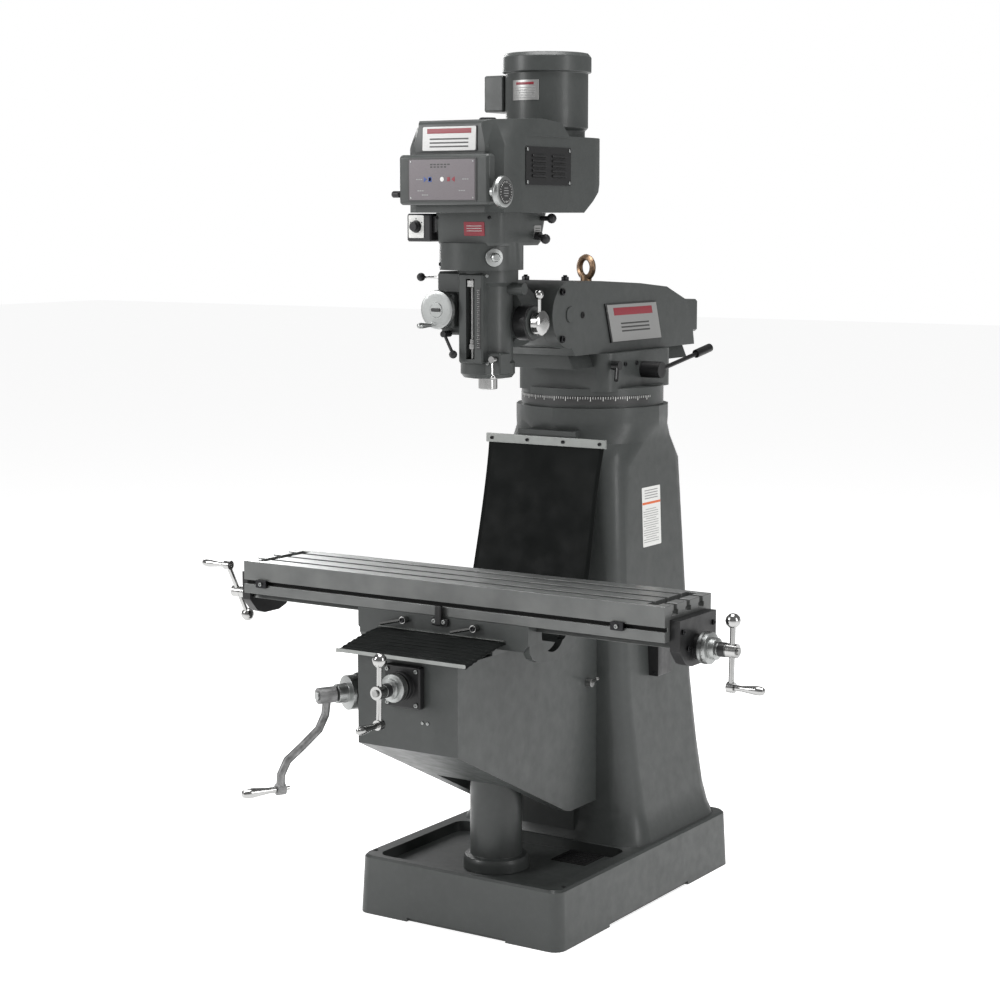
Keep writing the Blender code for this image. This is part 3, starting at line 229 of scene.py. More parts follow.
def cast_steel():
    """Rough forged and blasted steel, for the lifting crank's arm."""
    f = Finish("forged_steel", (0.22, 0.22, 0.22), 0.75, 0.5)
    spots = f.spread(f.noise(45.0, 6.0), 0.0, 1.0)
    f.drive("Base Color", f.mix(spots, (0.13, 0.13, 0.13), (0.30, 0.30, 0.30)))
    f.drive("Roughness", f.spread(f.noise(90.0, 4.0), 0.38, 0.62))
    f.bump(f.noise(160.0, 4.0), 0.35, 0.0012)
    return f.material


def plastic(name, colour, roughness=0.42, grain=900.0, relief=0.16):
    """Moulded plastic or textured coating: a fine even grain."""
    f = Finish(name, colour, 0.0, roughness)
    f.shader.inputs["Specular IOR Level"].default_value = 0.35
    cells = f.noise(grain, 2.0)
    f.drive("Roughness", f.spread(cells, roughness * 0.85, roughness * 1.2))
    f.drive("Base Color", f.mix(f.spread(f.noise(30.0, 3.0), 0.0, 1.0), colour, shade(colour, 1.35)))
    f.bump(cells, relief, 0.0004)
    return f.material


def rubber_sheet():
    """Reinforced rubber: cloth weave pressed in, with paler handling marks."""
    f = Finish("cover_rubber", (0.010, 0.011, 0.011), 0.0, 0.5)
    f.shader.inputs["Specular IOR Level"].default_value = 0.06
    marks = f.spread(f.noise(9.0, 5.0, (1.0, 1.0, 0.5)), 0.0, 1.0, 0.42, 0.75)
    f.drive("Base Color", f.mix(marks, (0.0065, 0.0075, 0.0072), (0.0100, 0.0108, 0.0104)))
    f.drive("Roughness", f.spread(f.noise(18.0, 4.0), 0.40, 0.62))
    across = f.add("ShaderNodeTexWave", Vector=f.place((1, 0, 0)), Scale=260.0).outputs["Fac"]
    along = f.add("ShaderNodeTexWave", Vector=f.place((0, 0, 1)), Scale=260.0)
    along.bands_direction = "Z"
    f.bump(across, 0.10, 0.0003)
    f.bump(along.outputs["Fac"], 0.10, 0.0003)
    f.bump(f.noise(12.0, 2.0), 0.12, 0.003)
    return f.material


def bronze():
    """Cast bronze, dark in its pores."""
    f = Finish("bronze", (0.30, 0.19, 0.11), 1.0, 0.42)
    pores = f.spread(f.noise(80.0, 6.0), 0.0, 1.0)
    f.drive("Base Color", f.mix(pores, (0.13, 0.085, 0.06), (0.36, 0.24, 0.15)))
    f.drive("Roughness", f.spread(f.noise(50.0, 4.0), 0.32, 0.55))
    f.bump(f.noise(140.0, 4.0), 0.25, 0.001)
    return f.material


def printed(name, colour, roughness=0.35, metallic=0.0):
    """Ink or brushed foil on a plate: an even colour with a faint brushed grain."""
    f = Finish(name, colour, metallic, roughness, coat=0.15)
    grain = f.noise(700.0, 3.0, (0.2, 1.0, 1.0))
    f.drive("Base Color", f.mix(f.spread(grain, 0.0, 1.0), shade(colour, 0.92), shade(colour, 1.06)))
    f.drive("Roughness", f.spread(grain, roughness * 0.9, roughness * 1.2))
    f.bump(grain, 0.03, 0.0003)
    return f.material


M = {
    "enamel": enamel(),
    "ground": ground_table(),
    "turned": metal("turned_steel", (0.34, 0.34, 0.335), 0.32, (40.0, 1.0, 40.0), 14.0),
    "chrome": metal("bright_chrome", (0.42, 0.42, 0.415), 0.15, (1, 1, 1), 140.0, 0.02),
    "satin": metal("satin_aluminium", (0.36, 0.37, 0.365), 0.33, (1, 1, 6.0), 120.0, 0.05),
    "sheet": metal("sheet_steel", (0.30, 0.31, 0.30), 0.38, (1, 1, 30.0), 30.0),
    "forged": cast_steel(),
    "black": enamel("black_enamel", BLACK),
    "oxide": metal("black_oxide", (0.035, 0.035, 0.037), 0.38, (1, 1, 1), 300.0, 0.08),
    "plastic": plastic("black_plastic", (0.014, 0.014, 0.015)),
    "rubber": rubber_sheet(),
    "belt": plastic("belt_rubber", (0.016, 0.016, 0.016), 0.6, 500.0, 0.3),
    "bronze": bronze(),
    "plate": printed("silver_plate", SILVER, 0.34, 0.55),
    "front_plate": printed("speed_plate", (0.125, 0.110, 0.119), 0.34, 0.15),
    "paper": printed("white_label", (0.72, 0.72, 0.70), 0.45),
    "ink": printed("black_ink", (0.02, 0.02, 0.02), 0.40),
    "red": printed("red_ink", RED, 0.38),
    "blue": printed("blue_ink", (0.02, 0.06, 0.25), 0.38),
    "orange": printed("orange_ink", (0.65, 0.12, 0.02), 0.45),
    "grey_ink": printed("grey_ink", (0.25, 0.25, 0.25), 0.45),
    # near black: painted shade in the louvres' openings and the table's stop slot, and the own colour of the
    # tray strainer and the ram's pivots
    "dark": plastic("near_black_and_gap_shade", (0.004, 0.004, 0.004), 0.8),
}

# finish, and edge radius in metres, for each CAD node listed; every one is smoothed with soften's 32 degree
# limit
NODE_LOOKS = {
    "enamel": {
        "column_base": 0.0050, "screw_pedestal": 0.0015, "knee_casting": 0.0050,
        "knee_crank_bracket": 0.0020, "saddle_casting": 0.0030, "turret_casting": 0.0025,
        "ram_casting": 0.0035, "knuckle_casting": 0.0020, "head_casting": 0.0022,
        "gear_case": 0.0030, "belt_housing": 0.0050, "speed_change_box": 0.0040, "motor": 0.0020,
        "terminal_box": 0.0025,
    },
    "ground": {"table_casting": 0.0014},
    "turned": {
        "elevating_screw": 0.0006, "cross_feed_screw": 0.0006, "table_feed_screw": 0.0006,
        "quill": 0.0006, "depth_stop_rod": 0.0004, "knee_lock_lever": 0.0008,
    },
    "chrome": {
        "knee_crank_handle": 0.0006, "cross_feed_crank": 0.0008, "cross_feed_handle": 0.0006,
        "table_crank_left": 0.0008, "table_crank_right": 0.0008, "table_handle_left": 0.0006,
        "table_handle_right": 0.0006, "table_lock_lever_left": 0.0006, "table_lock_lever_right": 0.0006,
        "spindle": 0.0006, "depth_stop_nut": 0.0004, "quill_feed_lever": 0.0008,
        "quill_lock_lever": 0.0006, "feed_engage_lever": 0.0005,
    },
    "satin": {
        "knee_crank_shaft": 0.0006, "cross_feed_dial": 0.0006, "table_feed_dial": 0.0006,
        "fine_feed_wheel": 0.0012, "feed_selector": 0.0008, "speed_dial": 0.0010,
        "spindle_pulley": 0.0006, "motor_pulley": 0.0006,
    },
    "sheet": {"way_cover_bar": 0.0005},
    "forged": {"knee_crank_arm": 0.0020},
    "black": {
        "cross_feed_bracket": 0.0020, "table_stop_bracket": 0.0012, "table_bracket_left": 0.0022,
        "table_bracket_right": 0.0022, "ram_lever": 0.0010, "ram_lock_lever": 0.0010,
    },
    "plastic": {
        "feed_trip_lever": 0.0006, "brake_lever": 0.0006, "range_lever": 0.0006,
        "switch_box": 0.0020, "switch_knob": 0.0008,
    },
    "belt": {"drive_belt": 0.0006},
    "bronze": {"lifting_eye": 0.0006},
}


def soften(thing, radius, limit=32.0, weld=False):
    """Rounds a piece's sharp edges and evens its shading."""
    if weld:
        join = thing.modifiers.new("Weld", "WELD")
        join.merge_threshold = 2e-5
        flat = thing.modifiers.new("Flat", "DECIMATE")
        flat.decimate_type = "DISSOLVE"
        flat.angle_limit = math.radians(0.6)
    if radius:
        edge = thing.modifiers.new("Edge", "BEVEL")
        edge.width = radius
        edge.segments = 3
        edge.limit_method = "ANGLE"
        edge.angle_limit = math.radians(limit)
        edge.use_clamp_overlap = True
        edge.miter_outer = "MITER_ARC"
    even = thing.modifiers.new("Even", "WEIGHTED_NORMAL")
    even.keep_sharp = False
    even.weight = 60


def dress_nodes():
    """Gives every CAD node its finish, rounded edges and smooth shading."""
    for finish, nodes in NODE_LOOKS.items():
        for name, radius in nodes.items():
            thing = NODES[name]
            thing.data.materials.clear()
            thing.data.materials.append(M[finish])
            for face in thing.data.polygons:
                face.use_smooth = True
            if "custom_normal" in thing.data.attributes:
                thing.data.attributes.remove(thing.data.attributes["custom_normal"])
            soften(thing, radius, weld=True)


# ---- shapes: each is a list of points and a list of faces ----------------
def axes_of(normal, up=Z):
    """Right, up and normal directions of a flat place."""
    n = Vector(normal).normalized()
    side = Vector(up).cross(n)
    if side.length < 1e-4:
        side = X.copy()
    side.normalize()
    return side, n.cross(side), n


def rounded(width, height, corner, steps=5):
    """Outline of a rectangle with round corners, about its own middle."""
    points = []
    for quarter, (sx, sy) in enumerate(((1, 1), (-1, 1), (-1, -1), (1, -1))):
        cx, cy = sx * (width / 2 - corner), sy * (height / 2 - corner)
        for i in range(steps + 1):
            turn = math.radians(90 * quarter + 90 * i / steps)
            points.append((cx + corner * math.cos(turn), cy + corner * math.sin(turn)))
    return points


def stack(rings):
    """Closed solid through rings of equally many points."""
    count = len(rings[0])
    points = [p for ring in rings for p in ring]
    faces = [tuple(range(count))[::-1]]
    for level in range(len(rings) - 1):
        for i in range(count):
            j = (i + 1) % count
            a, b = level * count, (level + 1) * count
            faces.append((a + i, a + j, b + j, b + i))
    faces.append(tuple(range((len(rings) - 1) * count, len(rings) * count)))
    return points, faces


def slab(place, normal, outline, thick, up=Z, edge=0.0):
    """Plate with the given outline standing on a place, its outer edge rounded over."""
    side, rise, n = axes_of(normal, up)
    place = Vector(place)
    levels = [(0.0, 0.0), (thick - edge, 0.0)]
    if edge:
        levels += [(thick - edge * 0.3, edge * 0.3), (thick, edge)]
    middle = [sum(p[k] for p in outline) / len(outline) for k in (0, 1)]
    reach = max(math.hypot(p[0] - middle[0], p[1] - middle[1]) for p in outline)
    rings = []
    for height, inset in levels:
        keep = 1.0 - inset / reach
        rings.append([
            place + side * (middle[0] + (u - middle[0]) * keep)
            + rise * (middle[1] + (v - middle[1]) * keep) + n * height
            for u, v in outline
        ])
    return stack(rings)


def turned(place, axis, profile, steps=32):
    """Solid of revolution through (radius, height) pairs, closed at both ends."""
    side, rise, n = axes_of(axis)
    place = Vector(place)
    rings = []
    for radius, height in profile:
        ring = []
        for i in range(steps):
            turn = 2 * math.pi * i / steps
            ring.append(place + n * height + (side * math.cos(turn) + rise * math.sin(turn)) * radius)
        rings.append(ring)
    return stack(rings)


def screw_head(place, axis, radius, height, rows):
    """Solid through round or hexagonal rings, given as (share of radius, share of height, hexagonal)."""
    side, rise, n = axes_of(axis)
    place = Vector(place)
    rings = []
    for reach, level, hexagon in rows:
        ring = []
        for i in range(HEAD_STEPS):
            turn = 2 * math.pi * i / HEAD_STEPS
            size = reach * radius
            if hexagon:
                size *= math.cos(math.pi / 6) / math.cos((turn % (math.pi / 3)) - math.pi / 6)
            ring.append(place + n * height * level + (side * math.cos(turn) + rise * math.sin(turn)) * size)
        rings.append(ring)
    return stack(rings)


def cap_screw(place, axis, radius, height):
    """Socket-head cap screw, with its hexagonal socket."""
    rows = [
        (1.0, 0.0, False), (1.0, 0.85, False), (0.90, 1.0, False), (0.62, 1.0, True),
        (0.56, 0.96, True), (0.54, 0.35, True), (0.10, 0.30, True),
    ]
    return screw_head(place, axis, radius, height, rows)


def hex_head(place, axis, radius, height, stud=0.0):
    """Hexagon nut or bolt head on a washer, with a stud end where the stud is longer."""
    rows = [
        (1.25, 0.0, False), (1.25, 0.12, False), (1.0, 0.14, True), (1.0, 0.90, True), (0.90, 1.0, True),
        (0.5, 1.0, False),
    ]
    if stud:
        rows += [(0.5, 1.0 + stud, False), (0.42, 1.05 + stud, False)]
    return screw_head(place, axis, radius, height, rows)


def tube(points, radius, steps=12):
    """Round bar along a few points."""
    points = [Vector(p) for p in points]
    rings = []
    for i, p in enumerate(points):
        ahead = points[min(i + 1, len(points) - 1)] - points[max(i - 1, 0)]
        side, rise, _ = axes_of(ahead)
        size = radius[i] if isinstance(radius, (list, tuple)) else radius
        rings.append([
            p + (side * math.cos(2 * math.pi * k / steps) + rise * math.sin(2 * math.pi * k / steps)) * size
            for k in range(steps)
        ])
    return stack(rings)


def ticks(place, axis, radius, count, length, width, height, long_every=5, start=0.0, end=360.0):
    """Graduation lines around a dial's rim, standing just proud of it."""
    side, rise, n = axes_of(axis)
    place = Vector(place)
    shapes = []
    for i in range(count):
        turn = math.radians(start + (end - start) * i / count)
        out = side * math.cos(turn) + rise * math.sin(turn)
        reach = length if i % long_every == 0 else length * 0.6
        outline = [(-width / 2, 0), (width / 2, 0), (width / 2, reach), (-width / 2, reach)]
        shapes.append(slab(place + out * radius, out, outline, height, up=n))
    return shapes


def piece(name, body, parts, edge=0.0, limit=32.0):
    """One visible piece from (finish, shape) pairs, riding on a body."""
    mesh = bpy.data.meshes.new(name)
    build = bmesh.new()
    finishes = []
    for finish, (points, faces) in parts:
        if finish not in finishes:
            finishes.append(finish)
        made = [build.verts.new(p) for p in points]
        for face in faces:
            new = build.faces.new([made[i] for i in face])
            new.material_index = finishes.index(finish)
            new.smooth = True
    bmesh.ops.recalc_face_normals(build, faces=build.faces)
    build.to_mesh(mesh)
    build.free()
    for finish in finishes:
        mesh.materials.append(M[finish])
    thing = bpy.data.objects.new(name, mesh)
    bpy.context.scene.collection.objects.link(thing)
    soften(thing, edge, limit)
    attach(thing, body)
    return thing


TREES = {}


def touch(node, point, direction):
    """Where a ray first meets a CAD node, and the surface's normal there."""
    if node not in TREES:
        mesh = NODES[node].data
        TREES[node] = BVHTree.FromPolygons(
            [v.co for v in mesh.vertices], [tuple(p.vertices) for p in mesh.polygons]
        )
    place, normal, _, _ = TREES[node].ray_cast(Vector(point), Vector(direction).normalized())
    if place is None:
        raise ValueError(f"nothing of {node} lies that way from {tuple(point)}")
    if normal.dot(Vector(direction)) > 0:
        normal = -normal
    return place, normal


# ---- covers --------------------------------------------------------------
def rear_cover():
    """Rubber sheet hanging from the bar on the column, bellied forwards over the knee's ways."""
    low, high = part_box("rear_way_cover")
    across, down = 24, 40
    thick = 0.0030
    front, back = [], []
    for j in range(down + 1):
        t = j / down
        z = high.z - 0.002 - t * (high.z - low.z - 0.004)
        for i in range(across + 1):
            u = i / across
            x = (low.x + 0.001) + u * (high.x - low.x - 0.002)
            sag = 0.0035 * math.sin(math.pi * t) * math.sin(math.pi * u)
            ripple = 0.0010 * math.sin(9.0 * u + 2.0 * t) * t
            y = rear_cover_line(t, low, high) + sag + ripple
            curl = math.sin(math.pi * t) * (1.0 - t) * u ** 3
            x -= 0.012 * curl
            y -= 0.005 * curl
            front.append(Vector((x, y, z)))
            back.append(Vector((x, y + thick, z)))
    return sheet_mesh(front, back, across + 1, down + 1)


def rear_cover_line(t, low, high):
    """Front face of the sheet: straight down behind the bar, then bowing out towards the operator."""
    drop = max(0.0, t - 0.05)
    return (high.y - 0.0045) - (high.y - low.y - 0.0085) * (drop / 0.95) ** 1.25


def sheet_mesh(front, back, wide, tall):
    """Closed thin sheet from two grids of points."""
    points = front + back
    count = wide * tall
    faces = []
    for j in range(tall - 1):
        for i in range(wide - 1):
            a = j * wide + i
            quad = (a, a + 1, a + wide + 1, a + wide)
            faces.append(quad)
            faces.append(tuple(count + k for k in reversed(quad)))
    edge = list(range(wide))
    edge += [j * wide + wide - 1 for j in range(1, tall)]
    edge += [(tall - 1) * wide + i for i in range(wide - 2, -1, -1)]
    edge += [j * wide for j in range(tall - 2, 0, -1)]
    for a, b in zip(edge, edge[1:] + edge[:1]):
        faces.append((a, b, b + count, a + count))
    return points, faces


def loose_piece(name, finish, shape):
    """A thin piece that isn't riding on a body yet."""
    mesh = bpy.data.meshes.new(name)
    mesh.from_pydata([tuple(p) for p in shape[0]], [], shape[1])
    mesh.materials.append(M[finish])
    build = bmesh.new()
    build.from_mesh(mesh)
    bmesh.ops.recalc_face_normals(build, faces=build.faces)
    build.to_mesh(mesh)
    build.free()
    for face in mesh.polygons:
        face.use_smooth = True
    thing = bpy.data.objects.new(name, mesh)
    bpy.context.scene.collection.objects.link(thing)
    return thing


def front_cover():
    """Pleated rubber sheet from the saddle's front to the knee's front edge."""
    low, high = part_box("front_way_cover")
    pleats = 9
    along, across = pleats * 6, 20
    thick = 0.0026
    top, under = [], []
    for j in range(along + 1):
        t = j / along
        y = (high.y - 0.001) - t * (high.y - low.y - 0.002)
        fall = (high.z - 0.0035) - (high.z - low.z - 0.010) * t ** 1.4
        fold = 0.0010 * math.sin(2 * math.pi * pleats * t) * min(1.0, 8 * t, 8 * (1 - t))
        for i in range(across + 1):
            u = i / across
            x = (low.x + 0.001) + u * (high.x - low.x - 0.002)
            droop = 0.0030 * (2 * u - 1) ** 4
            top.append(Vector((x, y, fall + fold - droop)))
            under.append(Vector((x, y, fall + fold - droop - thick)))
    return sheet_mesh(top, under, across + 1, along + 1)


def build_covers():
    """Both rubber covers, with the screws and strips that hold them."""
    rear = loose_piece("rear_cover_sheet", "rubber", rear_cover())
    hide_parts("rear_way_cover")
    low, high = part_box("rear_way_cover")
    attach(rear, "stand")
    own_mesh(rear)

    cover = loose_piece("front_cover_sheet", "rubber", front_cover())
    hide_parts("front_way_cover")
    low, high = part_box("front_way_cover")
    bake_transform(cover)

    # clamp strips: screws along the bar on the column, and a folded steel edge on the knee
    bar_low, bar_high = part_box("way_cover_bar")
    screws = [
        ("oxide", cap_screw((x, bar_low.y, (bar_low.z + bar_high.z) / 2), -Y, 0.0045, 0.0035))
        for x in (-0.165, -0.055, 0.055, 0.165)
    ]
    piece("cover_bar_screws", "stand", screws, 0.0)
    bar_outline = rounded(0.372, 0.008, 0.002)
    bar = slab((0, high.y - 0.0015, high.z - 0.0030), Z, bar_outline, 0.0026, up=Y, edge=0.0008)
    piece("front_cover_bar", "saddle", [("sheet", bar)])
    strip = slab((0, low.y + 0.0015, low.z + 0.0065), -Y, rounded(0.380, 0.009, 0.002), 0.0012, edge=0.0004)
    piece("front_cover_edge", "knee", [("sheet", strip)])


# ---- plates and labels ---------------------------------------------------
def badge(place, normal, up, outline, thick, bar, stripes):
    """Foil plate with a red bar, and plain dark stripes in place of any lettering."""
    _, rise, n = axes_of(normal, up)
    place = Vector(place)
    parts = [("ink", slab(place, n, outline, thick * 0.8, up=rise, edge=0.001))]
    keep = [(u * 0.965, v * 0.95) for u, v in outline]
    parts.append(("plate", slab(place + n * thick * 0.7, n, keep, thick * 0.3, up=rise, edge=0.0003)))
    top = place + n * thick
    for finish, shapes in (("red", bar), ("ink", stripes)):
        for shape in shapes:
            parts.append((finish, slab(top, n, shape, 0.0004, up=rise)))
    return parts


def leaning(width, height, x, z, lean):
    """Outline of a box whose sides lean, about its own place."""
    return [
        (x + sx * width / 2 + (z + sz * height / 2) * lean, z + sz * height / 2)
        for sx, sz in ((1, 1), (-1, 1), (-1, -1), (1, -1))
    ]


def ram_badges():
    """Slanted plate on each side of the ram."""
    for name, sign in (("ram_badge_right", 1), ("ram_badge_left", -1)):
        place, normal = touch("ram_casting", (sign * 0.5, 0.329, 1.512), (-sign, 0, 0))
        lean = -0.33 * sign
        outline = leaning(0.272, 0.102, 0, 0, lean)
        bar = [leaning(0.205, 0.020, 0, 0.030, lean)]
        stripes = [leaning(0.150, 0.004, 0, z, lean) for z in (-0.002, -0.012, -0.022)]
        parts = badge(place, normal, Z, outline, 0.006, bar, stripes)
        piece(name, "ram", parts, 0.0)


def housing_badge():
    """Plate on the front of the belt housing."""
    place, normal = touch("belt_housing", (0, -0.6, 1.974), (0, 1, 0))
    parts = badge(
        place, normal, Z, rounded(0.160, 0.060, 0.004), 0.003,
        [rect(0, 0.018, 0.128, 0.012)],
        [rect(0, z, 0.112, 0.0036) for z in (-0.001, -0.010, -0.019)],
    )
    piece("housing_badge", "head", parts)


def speed_plate():
    """Printed plate on the speed box's front: rows of dashes, arrows, a lamp and its four screws."""
    low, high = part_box("speed_change_box")
    middle = Vector((0.0, low.y, (low.z + high.z) / 2))
    parts = [("ink", slab(middle, -Y, rounded(0.200, 0.104, 0.004), 0.0016, edge=0.0004))]
    face = middle - Y * 0.0016
    parts.append(("front_plate", slab(face, -Y, rounded(0.190, 0.096, 0.002), 0.0008, edge=0.0003)))
    face -= Y * 0.0008

    def mark(finish, outline):
        parts.append((finish, slab(face, -Y, outline, 0.0003)))

    for row, count, wide in ((0.036, 6, 0.007), (0.030, 5, 0.006)):
        for i in range(count):
            mark("ink", rect(-0.030 + i * 0.010, row, wide, 0.0030))
    mark("blue", [(-0.052, 0.008), (-0.052, -0.006), (-0.043, 0.001)])
    mark("blue", rect(-0.034, 0.001, 0.010, 0.012))
    mark("front_plate", rect(-0.034, 0.001, 0.006, 0.008))
    mark("red", rect(0.020, 0.001, 0.008, 0.010))
    mark("red", [(0.038, 0.008), (0.038, -0.006), (0.028, 0.001)])
    parts.append(("paper", turned(face + Vector((0.001, 0, 0.001)), -Y, [(0.0055, 0), (0.0055, 0.0004)], 20)))
    for x, z in ((-0.072, 0.001), (0.062, 0.001), (-0.068, -0.026), (0.052, -0.026), (-0.055, -0.036)):
        for i in range(3):
            mark("grey_ink", rect(x + i * 0.0065, z, 0.005, 0.0026))
    for x in (-0.090, 0.090):
        for z in (-0.043, 0.043):
            spot = middle + Vector((x, -0.0024, z))
            parts.append(("satin", turned(spot, -Y, [(0.002, 0), (0.0016, 0.0008)], 12)))
    piece("speed_plate", "head", parts, 0.0)


def rect(x, z, width, height):
    """Outline of a small printed bar."""
    return [
        (x + width / 2, z + height / 2), (x - width / 2, z + height / 2),
        (x - width / 2, z - height / 2), (x + width / 2, z - height / 2),
    ]


def louvres():
    """Black vent plate with two banks of pressed louvres, on both sides of the housing."""
    screw = [(0.0042, 0), (0.0038, 0.0014), (0.0022, 0.0020)]
    for name, sign in (("vent_plate_right", 1), ("vent_plate_left", -1)):
        place, normal = touch("belt_housing", (sign * 0.5, -0.157, 1.910), (-sign, 0, 0))
        side, rise, n = axes_of(normal)
        parts = [("black", slab(place, n, rounded(0.208, 0.092, 0.004), 0.0022, edge=0.0006))]
        for bank in (-1, 1):
            for i in range(5):
                centre = place + side * bank * 0.046 + rise * (-0.024 + 0.012 * i) + n * 0.0020
                lip = [(-0.032, -0.002), (0.032, -0.002), (0.030, 0.0035), (-0.030, 0.0035)]
                parts.append(("black", slab(centre, n, lip, 0.0030, up=rise, edge=0.0012)))
                # painted shade: a near-black strip under each lip stands in for the shade inside the louvre's
                # opening
                louvre_opening_shade = [(-0.030, -0.0042), (0.030, -0.0042), (0.030, -0.002), (-0.030, -0.002)]
                parts.append(("dark", slab(centre, n, louvre_opening_shade, 0.0006, up=rise)))
        for u in (-0.097, 0.097):
            for v in (-0.039, 0.039):
                spot = place + side * u + rise * v + n * 0.0022
                parts.append(("satin", turned(spot, n, screw, 16)))
        piece(name, "head", parts)


def gear_case_label():
    """Red label on the gear case's front, with plain bars for print."""
    place, normal = touch("gear_case", (0.026, -0.6, 1.759), (0, 1, 0))
    parts = [("red", slab(place, normal, rounded(0.060, 0.034, 0.002), 0.0012, edge=0.0003))]
    for z in (0.007, 0.001, -0.005):
        parts.append(("plate", slab(place + normal * 0.0012, normal, rect(0, z, 0.044, 0.0016), 0.0002)))
    piece("gear_case_label", "head", parts)


def range_label():
    """Small plate on the gear case's right side, with plain bars for print."""
    place, normal = touch("gear_case", (0.5, -0.115, 1.752), (-1, 0, 0))
    parts = [("plate", slab(place, normal, rounded(0.032, 0.030, 0.002), 0.0010, edge=0.0003))]
    for z in (0.008, 0.002, -0.004):
        parts.append(("ink", slab(place + normal * 0.001, normal, rect(0, z, 0.022, 0.002), 0.0002)))
    piece("range_label", "head", parts)


def column_label():
    """White sticker on the column's right side, with an orange band and plain bars for print."""
    place, normal = touch("column_base", (0.9, 0.299, 1.0), (-1, 0, 0))
    up = (Z - normal * Z.dot(normal)).normalized()
    parts = [("paper", slab(place - normal * 0.0002, normal, rounded(0.098, 0.158, 0.003), 0.0008, up=up))]
    face = place + normal * 0.0006
    parts.append(("orange", slab(face, normal, rect(0, 0.036, 0.096, 0.006), 0.0002, up=up)))
    bars = [rect(0, 0.070 - i * 0.007, 0.070, 0.0024) for i in range(4)]
    bars += [rect(-0.004, 0.020 - i * 0.0062, 0.080 if i % 4 else 0.056, 0.0016) for i in range(15)]
    for bar in bars:
        parts.append(("grey_ink", slab(face, normal, bar, 0.0002, up=up)))
    piece("column_label", "stand", parts, 0.0)


def motor_plate():
    """Data plate wrapped on the motor's front, with a red band and plain bars for print."""
    axis = Vector((0, MOTOR_Y, 0))
    parts = [("plate", curved_band(axis, MOTOR_RADIUS, 0.0016, 2.080, 2.130, -111, -69, 16))]
    printed_rows = [("red", 2.1180, 2.1245, -104, -76)]
    printed_rows += [("grey_ink", 2.1100 - 0.0062 * i, 2.1118 - 0.0062 * i, -107, -73) for i in range(5)]
    for finish, bottom, top, start, end in printed_rows:
        parts.append((finish, curved_band(axis, MOTOR_RADIUS + 0.0014, 0.0004, bottom, top, start, end, 12)))
    piece("motor_plate", "head", parts)


def switch_plate():
    """White plate round the switch's knob, with a dark ring and three marks."""
    low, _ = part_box("switch_box")
    knob_low, knob_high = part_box("switch_knob")
    middle = (knob_low + knob_high) / 2
    place = Vector((middle.x, low.y, middle.z))
    parts = [("paper", slab(place, -Y, rounded(0.046, 0.056, 0.003), 0.0012, edge=0.0003))]
    ring = [(0.0160, 0.0010), (0.0155, 0.0020), (0.0135, 0.0020)]
    parts.append(("ink", turned(place, -Y, ring, 28)))
    for turn in (-60, 0, 60):
        out = math.radians(90 + turn)
        u, v = 0.0195 * math.cos(out), 0.0195 * math.sin(out)
        parts.append(("ink", slab(place - Y * 0.0012, -Y, rect(u, v, 0.003, 0.003), 0.0002)))
    piece("switch_plate", "head", parts, 0.0)


# ---- dials and scales ----------------------------------------------------
def curved_band(centre, radius, thick, low, high, start, end, steps):
    """Thin band on a cylinder about +Z, between two angles in degrees."""
    rings = []
    for i in range(steps + 1):
        turn = math.radians(start + (end - start) * i / steps)
        out = Vector((math.cos(turn), math.sin(turn), 0))
        rings.append([
            centre + out * reach + Z * z
            for reach, z in (
                (radius - 0.001, low), (radius + thick, low), (radius + thick, high), (radius - 0.001, high)
            )
        ])
    return stack(rings)


def build_turret_scale():
    """Dark band with pale degree marks round the turret's front."""
    centre = Vector((0, TURRET_Y, 0))
    band = curved_band(centre, 0.1906, 0.0011, 1.3005, 1.3235, -172, -8, 60)
    parts = [("ink", band)]
    for i in range(83):
        degrees = -171 + 2 * i
        turn = math.radians(degrees)
        out = Vector((math.cos(turn), math.sin(turn), 0))
        long = i % 5 == 0
        height = 0.011 if long else 0.006
        outline = rect(0, 0, 0.0016 if long else 0.0011, height)
        place = centre + out * 0.1916 + Z * (1.3215 - height / 2)
        parts.append(("paper", slab(place, out, outline, 0.0003)))
    piece("turret_scale", "turret", parts, 0.0)


def dial_marks():
    """Graduations on the feed dials."""
    rows = (
        ("table_dial_marks", "long_feed", "table_feed_dial", X, Vector((0, TABLE_Y, FEED_Z))),
        ("cross_dial_marks", "cross_feed", "cross_feed_dial", -Y, Vector((0, 0, CROSS_Z))),
    )
    for name, body, node, axis, line in rows:
        low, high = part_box(node)
        start = min(low.dot(axis), high.dot(axis))
        length = abs((high - low).dot(axis))
        spot, _ = touch(node, line + axis * (start + length * 0.20) + Z * 0.2, -Z)
        reach = (spot - line).dot(Z)
        marks = ticks(line + axis * (start + length * 0.14), axis, reach + 0.0001, 100, 0.008, 0.0007, 0.0004)
        piece(name, body, [("ink", shape) for shape in marks], 0.0)


def dial_sleeves():
    """Black sleeve on the small end of each feed dial, next to the crank's hub."""
    profile = [
        (0.0150, 0.0), (0.0168, 0.0005), (0.0173, 0.002),
        (0.0173, 0.0180), (0.0166, 0.0188), (0.0150, 0.0192),
    ]
    _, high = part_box("table_feed_dial")
    start = Vector((high.x - 0.0200, TABLE_Y, FEED_Z))
    piece("table_dial_sleeve", "long_feed", [("black", turned(start, X, profile, 28))], 0.0)
    low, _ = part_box("cross_feed_dial")
    start = Vector((0.0, low.y + 0.0200, CROSS_Z))
    piece("cross_dial_sleeve", "cross_feed", [("black", turned(start, -Y, profile, 28))], 0.0)


